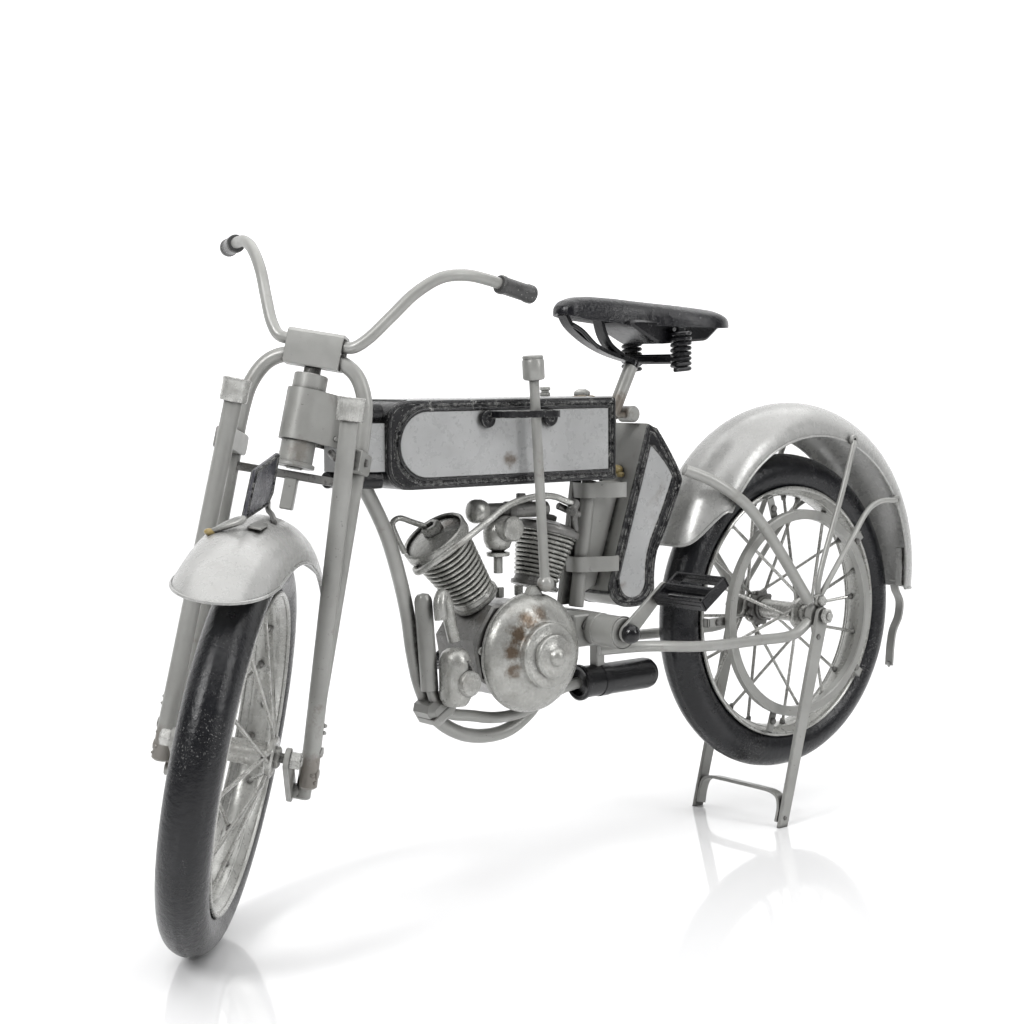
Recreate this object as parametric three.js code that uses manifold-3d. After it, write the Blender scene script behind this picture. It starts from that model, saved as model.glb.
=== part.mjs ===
// Tin model motorcycle on its rear stand, front wheel turned to the left.
// Millimetres. X points forward, Y to the rider's left, Z up, and the ground is Z = 0.
// Inside the bike group X is measured from the rear axle. The steering pieces use their own frame:
// X forward of the steering axis, Y left, Z along the axis from the point where it meets the ground.

import * as THREE from "three";
import { mergeVertices } from "three/addons/utils/BufferGeometryUtils.js";
import Module from "manifold-3d";

const wasm = await Module();
wasm.setup();

// ---- driving dimensions ----
const GAP = 0.3; // clearance left between touching pieces
const BOX_MIDDLE = new THREE.Vector3(106.41, -1.27, 0); // middle of the whole, from the rear axle

const TYRE_RADIUS = 59;
const TYRE_TUBE = 7.2;
const RIM_RADIUS = 46.8;
const RIM_HALF_WIDTH = 5.9;
const HUB_HALF_WIDTH = 13;
const SPOKES_PER_SIDE = 8;
const REAR_AXLE_HEIGHT = 75.6;

const STEER_GROUND_X = 244.9; // where the steering axis meets the ground
const RAKE = THREE.MathUtils.degToRad(13.57);
const STEER = THREE.MathUtils.degToRad(45);
const BAR_HEIGHT = 179;
const BAR_TWIST = THREE.MathUtils.degToRad(-9); // handlebar turned back in its clamp
const BAR_ROLL = THREE.MathUtils.degToRad(-1.6); // and its left end a little low
const WHEEL_TWIST = THREE.MathUtils.degToRad(5); // wheel sits askew in the fork
const FRONT_AXLE = new THREE.Vector3(18.45, 0, 56.9); // in the steering frame

const FRAME_TUBE = 2.4;
const FORK_TUBE = 2.4;
const BAR_TUBE = 1.85;
const STEM_RADIUS = 2.7;
const AXLE_RADIUS = 1.5;

const TANK = { front: 185, rear: 91.4, bottom: 129, top: 156.8, half: 11 };
const CRANK_CENTRE = new THREE.Vector3(102.3, 0, 79.4);
const CRANK_ARM = new THREE.Vector3(-16.6, 0, 13.8);
const ENGINE_CENTRE = new THREE.Vector3(131.4, 0, 74.4);
const STAND_HALF_SPACING = 21.7;

// ---- colours ----
const ENAMEL = { color: 0xb9b9b4, roughness: 0.5, metalness: 0.2 };
const DARK_ENAMEL = { color: 0x55554f, roughness: 0.5, metalness: 0.2 };
const BLACK = { color: 0x1c1c1e, roughness: 0.35, metalness: 0.1 };
const RUBBER = { color: 0x26272a, roughness: 0.45, metalness: 0.0 };
const STEEL = { color: 0xc4c3bd, roughness: 0.35, metalness: 0.6 };
const WIRE = { color: 0xd2d0c8, roughness: 0.3, metalness: 0.7 };

// ---- small helpers ----
const at = (x, y, z) => new THREE.Vector3(x, y, z);
const flat = (x, y) => new THREE.Vector2(x, y);
const degrees = THREE.MathUtils.degToRad;

// A closed solid from a closed geometry.
function solid(geometry) {
  const bare = geometry.clone();
  bare.deleteAttribute("normal");
  bare.deleteAttribute("uv");
  const merged = mergeVertices(bare, 1e-4);
  const vertProperties = new Float32Array(merged.attributes.position.array);
  const triVerts = new Uint32Array(merged.index.array);
  return new wasm.Manifold(new wasm.Mesh({ numProp: 3, vertProperties, triVerts }));
}

// The geometry of a closed solid.
function geometryOf(body) {
  const mesh = body.getMesh();
  const geometry = new THREE.BufferGeometry();
  geometry.setAttribute("position", new THREE.BufferAttribute(mesh.vertProperties, 3));
  geometry.setIndex(new THREE.BufferAttribute(mesh.triVerts, 1));
  geometry.computeVertexNormals();
  return geometry;
}

function join(...geometries) {
  const bodies = geometries.map(solid);
  return geometryOf(bodies.reduce((whole, next) => whole.add(next)));
}

function cut(geometry, ...cutters) {
  const whole = cutters.reduce((body, cutter) => body.subtract(solid(cutter)), solid(geometry));
  return geometryOf(whole);
}

function mirrorY(geometry) {
  const turned = geometry.index ? geometry.toNonIndexed() : geometry.clone();
  turned.deleteAttribute("normal");
  turned.deleteAttribute("uv");
  turned.scale(1, -1, 1);
  const place = turned.getAttribute("position");
  const corner = new THREE.Vector3();
  const other = new THREE.Vector3();
  for (let i = 0; i < place.count; i += 3) {
    corner.fromBufferAttribute(place, i + 1);
    other.fromBufferAttribute(place, i + 2);
    place.setXYZ(i + 1, other.x, other.y, other.z);
    place.setXYZ(i + 2, corner.x, corner.y, corner.z);
  }
  turned.computeVertexNormals();
  return turned;
}

// The other half of a path that runs across the bike.
function mirrored(points) {
  return points.map((point) => at(point.x, -point.y, point.z)).reverse();
}

function circleShape(radius, sides) {
  const points = [];
  for (let i = 0; i < sides; i += 1) {
    const angle = (i / sides) * Math.PI * 2;
    points.push(flat(radius * Math.cos(angle), radius * Math.sin(angle)));
  }
  return new THREE.Shape(points);
}

// A round tube, solid through, along a smooth curve.
function tube(points, radius, steps, sides = 8) {
  const path = new THREE.CatmullRomCurve3(points, false, "centripetal");
  return new THREE.ExtrudeGeometry(circleShape(radius, sides), { steps, extrudePath: path });
}

// A straight round rod between two points.
function rod(start, end, radius, sides = 10, endRadius = radius) {
  const along = end.clone().sub(start);
  const geometry = new THREE.CylinderGeometry(endRadius, radius, along.length(), sides);
  const turn = new THREE.Quaternion().setFromUnitVectors(at(0, 1, 0), along.clone().normalize());
  geometry.applyQuaternion(turn);
  const middle = start.clone().add(end).multiplyScalar(0.5);
  geometry.translate(middle.x, middle.y, middle.z);
  return geometry;
}

// A box given by its lowest and highest corners.
function box(low, high) {
  const size = high.clone().sub(low);
  const geometry = new THREE.BoxGeometry(size.x, size.y, size.z);
  const middle = low.clone().add(high).multiplyScalar(0.5);
  geometry.translate(middle.x, middle.y, middle.z);
  return geometry;
}

// An outline in the X-Z plane given thickness along Y.
function plate(shape, lowY, highY, curveSegments = 6) {
  const options = { depth: highY - lowY, bevelEnabled: false, curveSegments };
  const geometry = new THREE.ExtrudeGeometry(shape, options);
  geometry.rotateX(Math.PI / 2);
  geometry.translate(0, highY, 0);
  return geometry;
}

// A turned piece about the Y axis from (radius, height) pairs.
function turned(profile, segments) {
  const points = profile.map(([radius, height]) => flat(radius, height));
  return new THREE.LatheGeometry(points, segments);
}

// The same, standing along the line from one point towards another.
function turnedAlong(profile, segments, start, towards) {
  const geometry = turned(profile, segments);
  const direction = towards.clone().sub(start).normalize();
  geometry.applyQuaternion(new THREE.Quaternion().setFromUnitVectors(at(0, 1, 0), direction));
  geometry.translate(start.x, start.y, start.z);
  return geometry;
}

function add(parent, name, geometry, finish) {
  const mesh = new THREE.Mesh(geometry, new THREE.MeshStandardMaterial(finish));
  mesh.name = name;
  parent.add(mesh);
  return mesh;
}

// A pair of pieces mirrored left and right.
function addPair(parent, name, geometry, finish) {
  add(parent, `${name}_left`, geometry, finish);
  add(parent, `${name}_right`, mirrorY(geometry), finish);
}

// ---- wheels, centred on their axle ----
const WHEEL_SEGMENTS = 32;

function tyre() {
  const geometry = new THREE.TorusGeometry(TYRE_RADIUS - TYRE_TUBE, TYRE_TUBE, 8, WHEEL_SEGMENTS);
  geometry.rotateX(Math.PI / 2);
  return geometry;
}

function rim() {
  const edge = RIM_HALF_WIDTH;
  const profile = [
    [RIM_RADIUS, edge],
    [RIM_RADIUS - 1.2, edge],
    [42.8, 1.6],
    [42.8, -1.6],
    [RIM_RADIUS - 1.2, -edge],
    [RIM_RADIUS, -edge],
    [44, -1.4],
    [44, 1.4],
    [RIM_RADIUS, edge],
  ];
  return turned(profile, WHEEL_SEGMENTS);
}

function hub(boreRadius) {
  const half = HUB_HALF_WIDTH;
  const profile = [
    [boreRadius, -half],
    [6.2, -half],
    [6.2, -half + 2],
    [3.6, -half + 3],
    [3.6, half - 3],
    [6.2, half - 2],
    [6.2, half],
    [boreRadius, half],
    [boreRadius, -half],
  ];
  return turned(profile, 10);
}

// Crossed spokes lean forward and back in turn from each end of the hub.
function spokedHub() {
  const bore = AXLE_RADIUS + GAP;
  const spokes = [];
  const reach = 42.2;
  for (const side of [-1, 1]) {
    for (let i = 0; i < SPOKES_PER_SIDE; i += 1) {
      const angle = ((i + (side > 0 ? 0.5 : 0)) / SPOKES_PER_SIDE) * Math.PI * 2;
      const lean = (i % 2 ? 1 : -1) * degrees(38);
      const start = at(5 * Math.cos(angle), side * (HUB_HALF_WIDTH - 1), 5 * Math.sin(angle));
      const end = at(reach * Math.cos(angle + lean), side, reach * Math.sin(angle + lean));
      spokes.push(rod(start, end, 0.65, 4));
    }
  }
  return join(hub(bore), ...spokes);
}

// ---- fenders: a domed section turned about a centre and cut to its arc ----
function dome(crown, edge, halfWidth, thickness, segments) {
  const rows = 7;
  const profile = [];
  for (let i = 0; i <= rows; i += 1) {
    const turn = (i / rows - 0.5) * Math.PI;
    profile.push([edge + (crown - edge) * Math.cos(turn), halfWidth * Math.sin(turn)]);
  }
  for (let i = rows; i >= 0; i -= 1) {
    const turn = (i / rows - 0.5) * Math.PI;
    const depth = crown - edge - thickness;
    profile.push([edge + depth * Math.cos(turn), (halfWidth - thickness) * Math.sin(turn)]);
  }
  profile.push(profile[0]);
  return turned(profile, segments);
}

function fender(crown, edge, halfWidth, outline) {
  const shell = solid(dome(crown, edge, halfWidth, 1, 32));
  return geometryOf(shell.intersect(solid(plate(outline, -40, 40))));
}

// ---- the whole, and the bike measured from its rear axle ----
const motorcycle = new THREE.Group();
const bike = new THREE.Group();
bike.position.copy(BOX_MIDDLE).negate();
motorcycle.add(bike);

const rakeFrame = new THREE.Group();
rakeFrame.position.set(STEER_GROUND_X, 0, 0);
rakeFrame.rotation.y = -RAKE;
bike.add(rakeFrame);

const steering = new THREE.Group();
steering.rotation.z = STEER;
rakeFrame.add(steering);

const bars = new THREE.Group();
bars.position.z = BAR_HEIGHT;
bars.rotation.set(BAR_ROLL, 0, BAR_TWIST, "ZYX");
steering.add(bars);

const wheelEnd = new THREE.Group();
wheelEnd.rotation.z = WHEEL_TWIST;
steering.add(wheelEnd);

const frontWheel = new THREE.Group();
frontWheel.position.copy(FRONT_AXLE);
wheelEnd.add(frontWheel);

const rearWheel = new THREE.Group();
rearWheel.position.set(0, 0, REAR_AXLE_HEIGHT);
bike.add(rearWheel);

// ---- head of the frame ----
const HEAD_BOTTOM = 141;
const HEAD_TOP = 169.3;
const HEAD_RADIUS = 5.2;
const LUG_SHEET = 0.8;
const LUG_LOW = 149;
const LUG_HIGH = 164.5;
const LUG_TAIL = -13;

function headTube() {
  const bore = STEM_RADIUS + GAP;
  const profile = [
    [bore, HEAD_BOTTOM],
    [6.1, HEAD_BOTTOM],
    [6.1, HEAD_BOTTOM + 1],
    [HEAD_RADIUS, HEAD_BOTTOM + 1],
    [HEAD_RADIUS, HEAD_TOP],
    [bore, HEAD_TOP],
    [bore, HEAD_BOTTOM],
  ];
  return turned(profile, 20).rotateX(Math.PI / 2);
}

// A sheet band round the head tube whose two cheeks run back to the tank.
function headLug() {
  const inner = HEAD_RADIUS + GAP;
  const outer = inner + LUG_SHEET;
  const tail = LUG_TAIL;
  const shape = new THREE.Shape();
  shape.moveTo(tail, -outer);
  shape.lineTo(0, -outer);
  shape.absarc(0, 0, outer, -Math.PI / 2, Math.PI / 2, false);
  shape.lineTo(tail, outer);
  shape.lineTo(tail, inner);
  shape.lineTo(0, inner);
  shape.absarc(0, 0, inner, Math.PI / 2, -Math.PI / 2, true);
  shape.lineTo(tail, -inner);
  const options = { depth: LUG_HIGH - LUG_LOW, bevelEnabled: false, curveSegments: 8 };
  return new THREE.ExtrudeGeometry(shape, options).translate(0, 0, LUG_LOW);
}

add(rakeFrame, "head_tube", headTube(), ENAMEL);
add(rakeFrame, "head_lug", headLug(), ENAMEL);

// ---- main frame ----
// The down tube falls from under the head, passes ahead of the engine and loops back beneath it.
const DOWN_TUBE = [
  at(190.5, 0, 136.5),
  at(185.8, 0, 128.6),
  at(179, 0, 116),
  at(174.4, 0, 103),
  at(170.8, 0, 89),
  at(168.7, 0, 76),
  at(165.6, 0, 64.5),
  at(160, 0, 54.6),
  at(151, 0, 48.6),
  at(141, 0, 46.2),
  at(131, 0, 46.8),
  at(123, 0, 50.6),
  at(114.6, 0, 58.4),
  at(108.6, 0, 67),
  at(106, 0, 72.4),
];

const RAIL_RADIUS = 2.9;
const RAIL_HEIGHTS = [132.4, 153.4];

// The down tube and the two rails of the tank meet in a sheet box behind the head.
function frontFrame() {
  const front = TANK.front + GAP;
  const sheet = box(at(front, -5.1, 132.4), at(198.4, 5.1, 153.4));
  const rails = RAIL_HEIGHTS.map((z) => [
    rod(at(front + 0.7, -6.6, z), at(196, -4.2, z), RAIL_RADIUS, 10),
    rod(at(front + 0.7, 6.6, z), at(196, 4.2, z), RAIL_RADIUS, 10),
  ]);
  const headRoom = rod(at(0, 0, 0), at(0, 0, 260), HEAD_RADIUS + 2 * GAP + LUG_SHEET, 24);
  const lugRoom = box(at(LUG_TAIL - GAP, -6.7, LUG_LOW - GAP), at(0, 6.7, LUG_HIGH + GAP));
  const rooms = [headRoom, lugRoom].map((room) => {
    return room.rotateY(-RAKE).translate(STEER_GROUND_X, 0, 0);
  });
  return cut(join(sheet, ...rails.flat(), tube(DOWN_TUBE, FRAME_TUBE, 26)), ...rooms);
}

const SEAT_TUBE_TOP = at(94.2, 0, 128.4);
const SEAT_TUBE_FOOT = at(100.4, 0, 85.4);
const CASE_HALF = 7.5;

function toolCaseOutline() {
  const shape = new THREE.Shape();
  shape.moveTo(92, 92.4);
  shape.lineTo(73.5, 147.4);
  shape.lineTo(69.5, 145.5);
  shape.quadraticCurveTo(58, 131, 57.4, 127);
  shape.quadraticCurveTo(64, 112, 69.5, 103.4);
  shape.quadraticCurveTo(71.5, 98, 71, 90);
  shape.quadraticCurveTo(73, 84.6, 80, 84.6);
  shape.quadraticCurveTo(88, 85.6, 92, 92.4);
  return shape;
}

// Two sheet bands tie the seat tube to the tool case behind it.
function seatTube() {
  const bandHigh = box(at(82, 0, 122.4), at(95, CASE_HALF - 0.6, 127.6));
  const bandLow = box(at(89.5, 0, 97.5), at(100, CASE_HALF - 0.6, 103.5));
  const whole = join(rod(SEAT_TUBE_FOOT, SEAT_TUBE_TOP, 2.6, 12), bandHigh, bandLow);
  return cut(whole, plate(grown(toolCaseOutline(), GAP), -20, 20));
}

// The same outline, moved outwards by a distance at its corners.
function grown(shape, distance) {
  const points = shape.getPoints(6);
  const middle = points.reduce((sum, point) => sum.add(point), flat(0, 0));
  middle.divideScalar(points.length);
  const moved = points.map((point) => {
    const out = point.clone().sub(middle);
    return point.clone().add(out.normalize().multiplyScalar(distance * 1.5));
  });
  return new THREE.Shape(moved);
}

const SHELL_RADIUS = 5.4;
const SHELL_HALF = 26.4;

function crossRod(radius, halfLength, sides) {
  const low = at(CRANK_CENTRE.x, -halfLength, CRANK_CENTRE.z);
  return rod(low, at(CRANK_CENTRE.x, halfLength, CRANK_CENTRE.z), radius, sides);
}

function shellRoom() {
  return crossRod(SHELL_RADIUS + GAP, 40, 18);
}

// The crank turns in a long shell held by a block on the end of the down tube.
function bottomBracket() {
  const shell = crossRod(SHELL_RADIUS, SHELL_HALF, 18);
  const block = box(at(98.6, -8, 73.4), at(111.5, 12, 84.6));
  const bore = crossRod(2.5, 40, 18);
  const loop = tube(DOWN_TUBE, FRAME_TUBE + GAP, 26);
  return cut(join(shell, block), bore, loop);
}

// The chain stay ends in an eye round the rear axle.
function chainStay() {
  const points = [
    at(97.6, 8.5, 71.2),
    at(82, 14.4, 71.6),
    at(59, 17.6, 69.6),
    at(30, 18.3, 69),
    at(11, 18.3, 69.4),
    at(3, 18.3, 73.5),
  ];
  const axle = REAR_AXLE_HEIGHT;
  const eye = rod(at(0, 17, axle), at(0, 20.2, axle), 4.4, 14);
  const bore = rod(at(0, 10, axle), at(0, 30, axle), AXLE_RADIUS + GAP, 12);
  return cut(join(tube(points, 1.95, 10, 7), eye), bore);
}

function seatStay() {
  const points = [
    at(58.8, 10, 131),
    at(50, 14, 127.2),
    at(43, 17, 122.7),
    at(36.2, 18.2, 117.9),
    at(24, 18.3, 106),
    at(3.6, 18.3, 81.4),
  ];
  return tube(points, 2.1, 12, 7);
}

add(bike, "front_frame", frontFrame(), ENAMEL);
add(bike, "seat_tube", seatTube(), ENAMEL);
add(bike, "bottom_bracket", bottomBracket(), ENAMEL);
add(bike, "tool_case", plate(toolCaseOutline(), -CASE_HALF, CASE_HALF), ENAMEL);
addPair(bike, "chain_stay", chainStay(), ENAMEL);
addPair(bike, "seat_stay", seatStay(), ENAMEL);

// ---- tank ----
function tankOutline(inset, corner) {
  const left = TANK.rear + inset;
  const right = TANK.front - inset;
  const low = TANK.bottom + inset;
  const high = TANK.top - inset;
  const shape = new THREE.Shape();
  shape.moveTo(left, low);
  shape.lineTo(right - corner, low);
  shape.quadraticCurveTo(right, low, right, low + corner);
  shape.lineTo(right, high - corner);
  shape.quadraticCurveTo(right, high, right - corner, high);
  shape.lineTo(left, high);
  return shape;
}

function tank() {
  const core = plate(tankOutline(0, 6), -TANK.half + 1, TANK.half - 1);
  const faces = plate(tankOutline(3, 9), -TANK.half, TANK.half);
  return join(core, faces);
}

function cap(radius, height, x) {
  const profile = [
    [0, 0],
    [radius, 0],
    [radius, height],
    [0, height],
  ];
  return turned(profile, 12).rotateX(Math.PI / 2).translate(x, 0, TANK.top + GAP);
}

// A strap standing off the tank's left face, with the hand lever between them.
function leverGuide() {
  const shape = new THREE.Shape();
  const foot = TANK.half + GAP;
  shape.moveTo(120.6, foot);
  shape.lineTo(123.6, foot);
  shape.lineTo(123.6, 18.6);
  shape.lineTo(145.4, 18.6);
  shape.lineTo(145.4, foot);
  shape.lineTo(148.4, foot);
  shape.lineTo(148.4, foot + 1);
  shape.lineTo(146.4, foot + 1);
  shape.lineTo(146.4, 19.6);
  shape.lineTo(122.6, 19.6);
  shape.lineTo(122.6, foot + 1);
  shape.lineTo(120.6, foot + 1);
  const options = { depth: 2, bevelEnabled: false };
  return new THREE.ExtrudeGeometry(shape, options).translate(0, 0, 150.8);
}

add(bike, "tank", tank(), ENAMEL);
add(bike, "filler_cap", cap(1.8, 3.2, 113.7), STEEL);
add(bike, "oil_cap", cap(2.8, 2.4, 97.4), STEEL);
add(bike, "lever_guide", leverGuide(), BLACK);

// ---- saddle ----
function saddle() {
  const shape = new THREE.Shape();
  shape.moveTo(108.8, 0);
  shape.quadraticCurveTo(108.4, 4.6, 101, 5.4);
  shape.quadraticCurveTo(84, 6.5, 69, 13);
  shape.quadraticCurveTo(52, 20.6, 41, 15);
  shape.quadraticCurveTo(34, 10, 34, 0);
  shape.quadraticCurveTo(34, -10, 41, -15);
  shape.quadraticCurveTo(52, -20.6, 69, -13);
  shape.quadraticCurveTo(84, -6.5, 101, -5.4);
  shape.quadraticCurveTo(108.4, -4.6, 108.8, 0);
  const options = { depth: 24, bevelEnabled: false, curveSegments: 5 };
  const plan = new THREE.ExtrudeGeometry(shape, options).translate(0, 0, 170);
  return geometryOf(solid(plan).intersect(solid(plate(saddleSide(), -30, 30))));
}

// Seen from the side the saddle is high at the nose and falls towards the tail.
function saddleSide() {
  const shape = new THREE.Shape();
  shape.moveTo(110, 181);
  shape.quadraticCurveTo(108, 190.6, 98, 190.8);
  shape.quadraticCurveTo(84, 190.6, 70, 188);
  shape.quadraticCurveTo(46, 185.6, 38, 183.6);
  shape.quadraticCurveTo(33, 182, 32, 179);
  shape.lineTo(35, 176.6);
  shape.lineTo(58, 178.2);
  shape.lineTo(84, 180.4);
  return shape;
}

const SPRING_X = 63;
const SPRING_HALF_SPACING = 12.5;
const SPRING_FOOT = 170.8;

const SADDLE_STRAP = [
  at(74.2, 0, 168.6),
  at(89, 0, 173.4),
  at(97, 0, 176.2),
  at(103, 0, 179.4),
];

// The post, the strap up to the nose, and the cross bar that carries the two springs.
function saddleFrame() {
  const post = rod(at(84, 0, 149.4), at(73.8, 0, 169), 2.1, 10);
  const strap = tube(SADDLE_STRAP, 1.3, 8, 6);
  const top = SPRING_FOOT - GAP;
  const carrier = box(at(60, -SPRING_HALF_SPACING - 3, top - 2.4), at(66, SPRING_HALF_SPACING + 3, top));
  const link = box(at(60, -2, top - 2.4), at(75.5, 2, top));
  const feet = [-1, 1].map((side) => {
    const y = side * SPRING_HALF_SPACING;
    return rod(at(SPRING_X, y, 165.4), at(SPRING_X, y, top), 3.9, 12);
  });
  const boss = rod(at(76.2, -5.5, 150.4), at(76.2, 5.5, 150.4), 2.2, 12);
  const arm = box(at(76, -2.2, 149.2), at(85, 2.2, 151.4));
  return join(post, strap, carrier, link, ...feet, boss, arm);
}

function saddleSpring() {
  const foot = at(SPRING_X, SPRING_HALF_SPACING, SPRING_FOOT);
  const head = at(SPRING_X, SPRING_HALF_SPACING, 177.6);
  return rod(foot, head, 3.9, 12);
}

add(bike, "saddle", saddle(), BLACK);
add(bike, "saddle_frame", saddleFrame(), BLACK);
addPair(bike, "saddle_spring", saddleSpring(), BLACK);

// ---- engine ----
const EXHAUST_PATH = [
  at(166, 5.4, 66.5),
  at(163.5, 5.4, 60),
  at(158.5, 5.4, 56.6),
  at(150, 5.4, 54.8),
  at(140, 5.2, 52.9),
  at(129, 5, 53.2),
  at(119, 5, 56.4),
  at(110, 4, 59),
  at(102, 3, 59.8),
];

function crankcase() {
  const shape = new THREE.Shape();
  shape.absarc(ENGINE_CENTRE.x, ENGINE_CENTRE.z, 16.5, degrees(95), degrees(265), false);
  shape.lineTo(ENGINE_CENTRE.x + 8, 60);
  shape.lineTo(ENGINE_CENTRE.x + 19.5, 67);
  shape.lineTo(ENGINE_CENTRE.x + 22, 80);
  shape.lineTo(ENGINE_CENTRE.x + 14, 91);
  return cut(plate(shape, -10, 11.6, 12), bottomBracketRoom());
}

function bottomBracketRoom() {
  return box(at(90, -12, 60), at(109.8, 12, 90));
}

// Domed cover over the belt pulley, with a stepped centre.
function beltCover() {
  const profile = [
    [0, 0],
    [19.6, 0],
    [19.6, 2.2],
    [18.4, 4.4],
    [15.6, 6.6],
    [11.6, 9],
    [10.6, 9.6],
    [10.6, 11.6],
    [7, 12.2],
    [6.6, 14.4],
    [3, 15],
    [2.4, 16.6],
    [0, 17.4],
  ];
  return turned(profile, 22).translate(ENGINE_CENTRE.x, 11.9, ENGINE_CENTRE.z);
}

// A finned barrel that widens towards its head, with the head on top.
function cylinder(foot, head) {
  const length = head.distanceTo(foot);
  const fins = 6;
  const profile = [
    [0, 0],
    [7.4, 0],
    [7.4, 2.6],
  ];
  for (let i = 0; i < fins; i += 1) {
    const height = 3 + (i / fins) * (length - 7);
    const radius = 8.2 + (2.4 * i) / (fins - 1);
    profile.push([radius, height + 0.5]);
    profile.push([radius, height + 1.1]);
    profile.push([radius - 1.6, height + 1.7]);
  }
  profile.push([11.2, length - 3.4]);
  profile.push([11.2, length - 1]);
  profile.push([8, length + 1]);
  profile.push([0, length + 1.6]);
  return turnedAlong(profile, 12, foot, head);
}

function carburettor() {
  const bowl = turned(
    [
      [0, -13],
      [1.6, -13],
      [1.6, -6],
      [3.8, -6],
      [3.8, -5],
      [4.9, -2],
      [4.9, 1],
      [3.2, 4],
      [0, 4],
    ],
    12,
  )
    .rotateX(Math.PI / 2)
    .translate(137.3, 4, 113);
  const lid = rod(at(136.6, 5, 114.8), at(136.6, 12, 114.8), 4.1, 12);
  const throat = rod(at(117, 4, 120), at(143, 4, 120.4), 2.7, 10);
  const bell = new THREE.SphereGeometry(3.9, 8, 6).translate(145.6, 4, 120.6);
  return join(bowl, lid, throat, bell);
}

function magneto() {
  const profile = [
    [0, 60],
    [3.6, 60],
    [5.2, 62.6],
    [5.2, 74.6],
    [3.8, 77.6],
    [0, 78.8],
  ];
  const body = turned(profile, 12).rotateX(Math.PI / 2).translate(160.4, 11, 0);
  const knob = rod(at(158.6, 12, 67.6), at(158.6, 17.4, 67.6), 4.2, 14);
  return cut(join(body, knob), exhaustRoom());
}

const FRONT_FOOT = at(143.2, 0, 91.4);
const FRONT_HEAD = at(160.1, 0, 113);
const REAR_FOOT = at(119, 0, 93.4);
const REAR_HEAD = at(112, 0, 117);

function rearCylinder() {
  return cut(cylinder(REAR_FOOT, REAR_HEAD), carburettorRoom());
}

function carburettorRoom() {
  return rod(at(112, 4, 120), at(143, 4, 120.4), 2.7 + GAP, 10);
}

function footRoom(foot, head) {
  const along = head.clone().sub(foot).normalize();
  const start = foot.clone().addScaledVector(along, -GAP - 0.08);
  return rod(start, head, 8, 16);
}

// The crankcase stops short of the two cylinders' flat feet.
function crankcaseUnderCylinders() {
  return cut(crankcase(), footRoom(FRONT_FOOT, FRONT_HEAD), footRoom(REAR_FOOT, REAR_HEAD));
}

const OIL_LINE = [
  at(169, 3, 101.5),
  at(168.5, 11.2, 106.4),
  at(161, 14.2, 111.6),
  at(149, 13.2, 117.8),
  at(139, 11.8, 122.6),
  at(127.4, 10.2, 124.6),
  at(117, 8, 124.2),
];

add(bike, "crankcase", crankcaseUnderCylinders(), STEEL);
add(bike, "belt_cover", beltCover(), STEEL);
add(bike, "front_cylinder", cylinder(FRONT_FOOT, FRONT_HEAD), STEEL);
add(bike, "rear_cylinder", rearCylinder(), STEEL);
add(bike, "carburettor", carburettor(), STEEL);
add(bike, "magneto", magneto(), STEEL);
add(bike, "oil_line", tube(OIL_LINE, 0.9, 12, 5), WIRE);

// ---- exhaust ----
function exhaust() {
  const upright = turnedAlong(
    [
      [0, 0],
      [2.9, 0],
      [2.9, 28.6],
      [2, 30.6],
      [0, 31.4],
    ],
    10,
    at(166.3, 5.4, 65),
    at(168.7, 5.4, 96.2),
  );
  const whole = join(upright, tube(EXHAUST_PATH, 1.9, 16));
  return cut(whole, tube(DOWN_TUBE, FRAME_TUBE + GAP, 26));
}

function muffler() {
  const profile = [
    [0, 2],
    [4, 2],
    [4, 0],
    [6.2, 0],
    [6.2, 1.5],
    [5.5, 4],
    [5.5, 31],
    [4.6, 33.6],
    [0, 34.4],
  ];
  const drum = turnedAlong(profile, 18, at(102.6, 3, 59.8), at(60, 3, 59.8));
  const strap = box(at(91.6, 0.8, 64), at(95.4, 5.2, 76));
  return cut(join(drum, strap), bracketRoom());
}

function bracketRoom() {
  return join(shellRoom(), mirrorY(stayRoom()), stayRoom());
}

function stayRoom() {
  return rod(at(97.6, 8.5, 71.2), at(82, 14.4, 71.6), 1.95 + GAP, 10);
}

// A folded sheet clamp ties the exhaust to the down tube.
function frameClamp() {
  const block = new THREE.BoxGeometry(11, 11.5, 8.6);
  block.rotateY(degrees(32));
  block.translate(162.6, 2.9, 58.6);
  return cut(block, tube(DOWN_TUBE, FRAME_TUBE + GAP, 26), exhaustRoom(), magnetoRoom());
}

function exhaustRoom() {
  const upright = rod(at(166.3, 5.4, 64.7), at(168.7, 5.4, 97), 2.9 + GAP, 10);
  return join(upright, tube(EXHAUST_PATH, 1.9 + GAP, 16));
}

function magnetoRoom() {
  return rod(at(160.4, 11, 59.6), at(160.4, 11, 90), 5.2 + GAP, 12);
}

const BREATHER_PATH = [
  at(166, 11.4, 88),
  at(166.2, 11, 93),
  at(164.6, 10, 95.6),
  at(162.4, 9, 93.6),
  at(160.6, 8.6, 87),
  at(158.8, 8.6, 80.2),
];

function breather() {
  return cut(tube(BREATHER_PATH, 2.1, 14), exhaustRoom(), magnetoRoom());
}

add(bike, "exhaust_pipe", exhaust(), ENAMEL);
add(bike, "muffler", muffler(), BLACK);
add(bike, "frame_clamp", frameClamp(), ENAMEL);
add(bike, "breather_pipe", breather(), STEEL);

// ---- rear fender, its stays and the hanging clip for the folded stand ----
const FENDER_CENTRE = at(-4.4, 0, 89.3);
const FENDER_HALF = 15.5;

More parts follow.
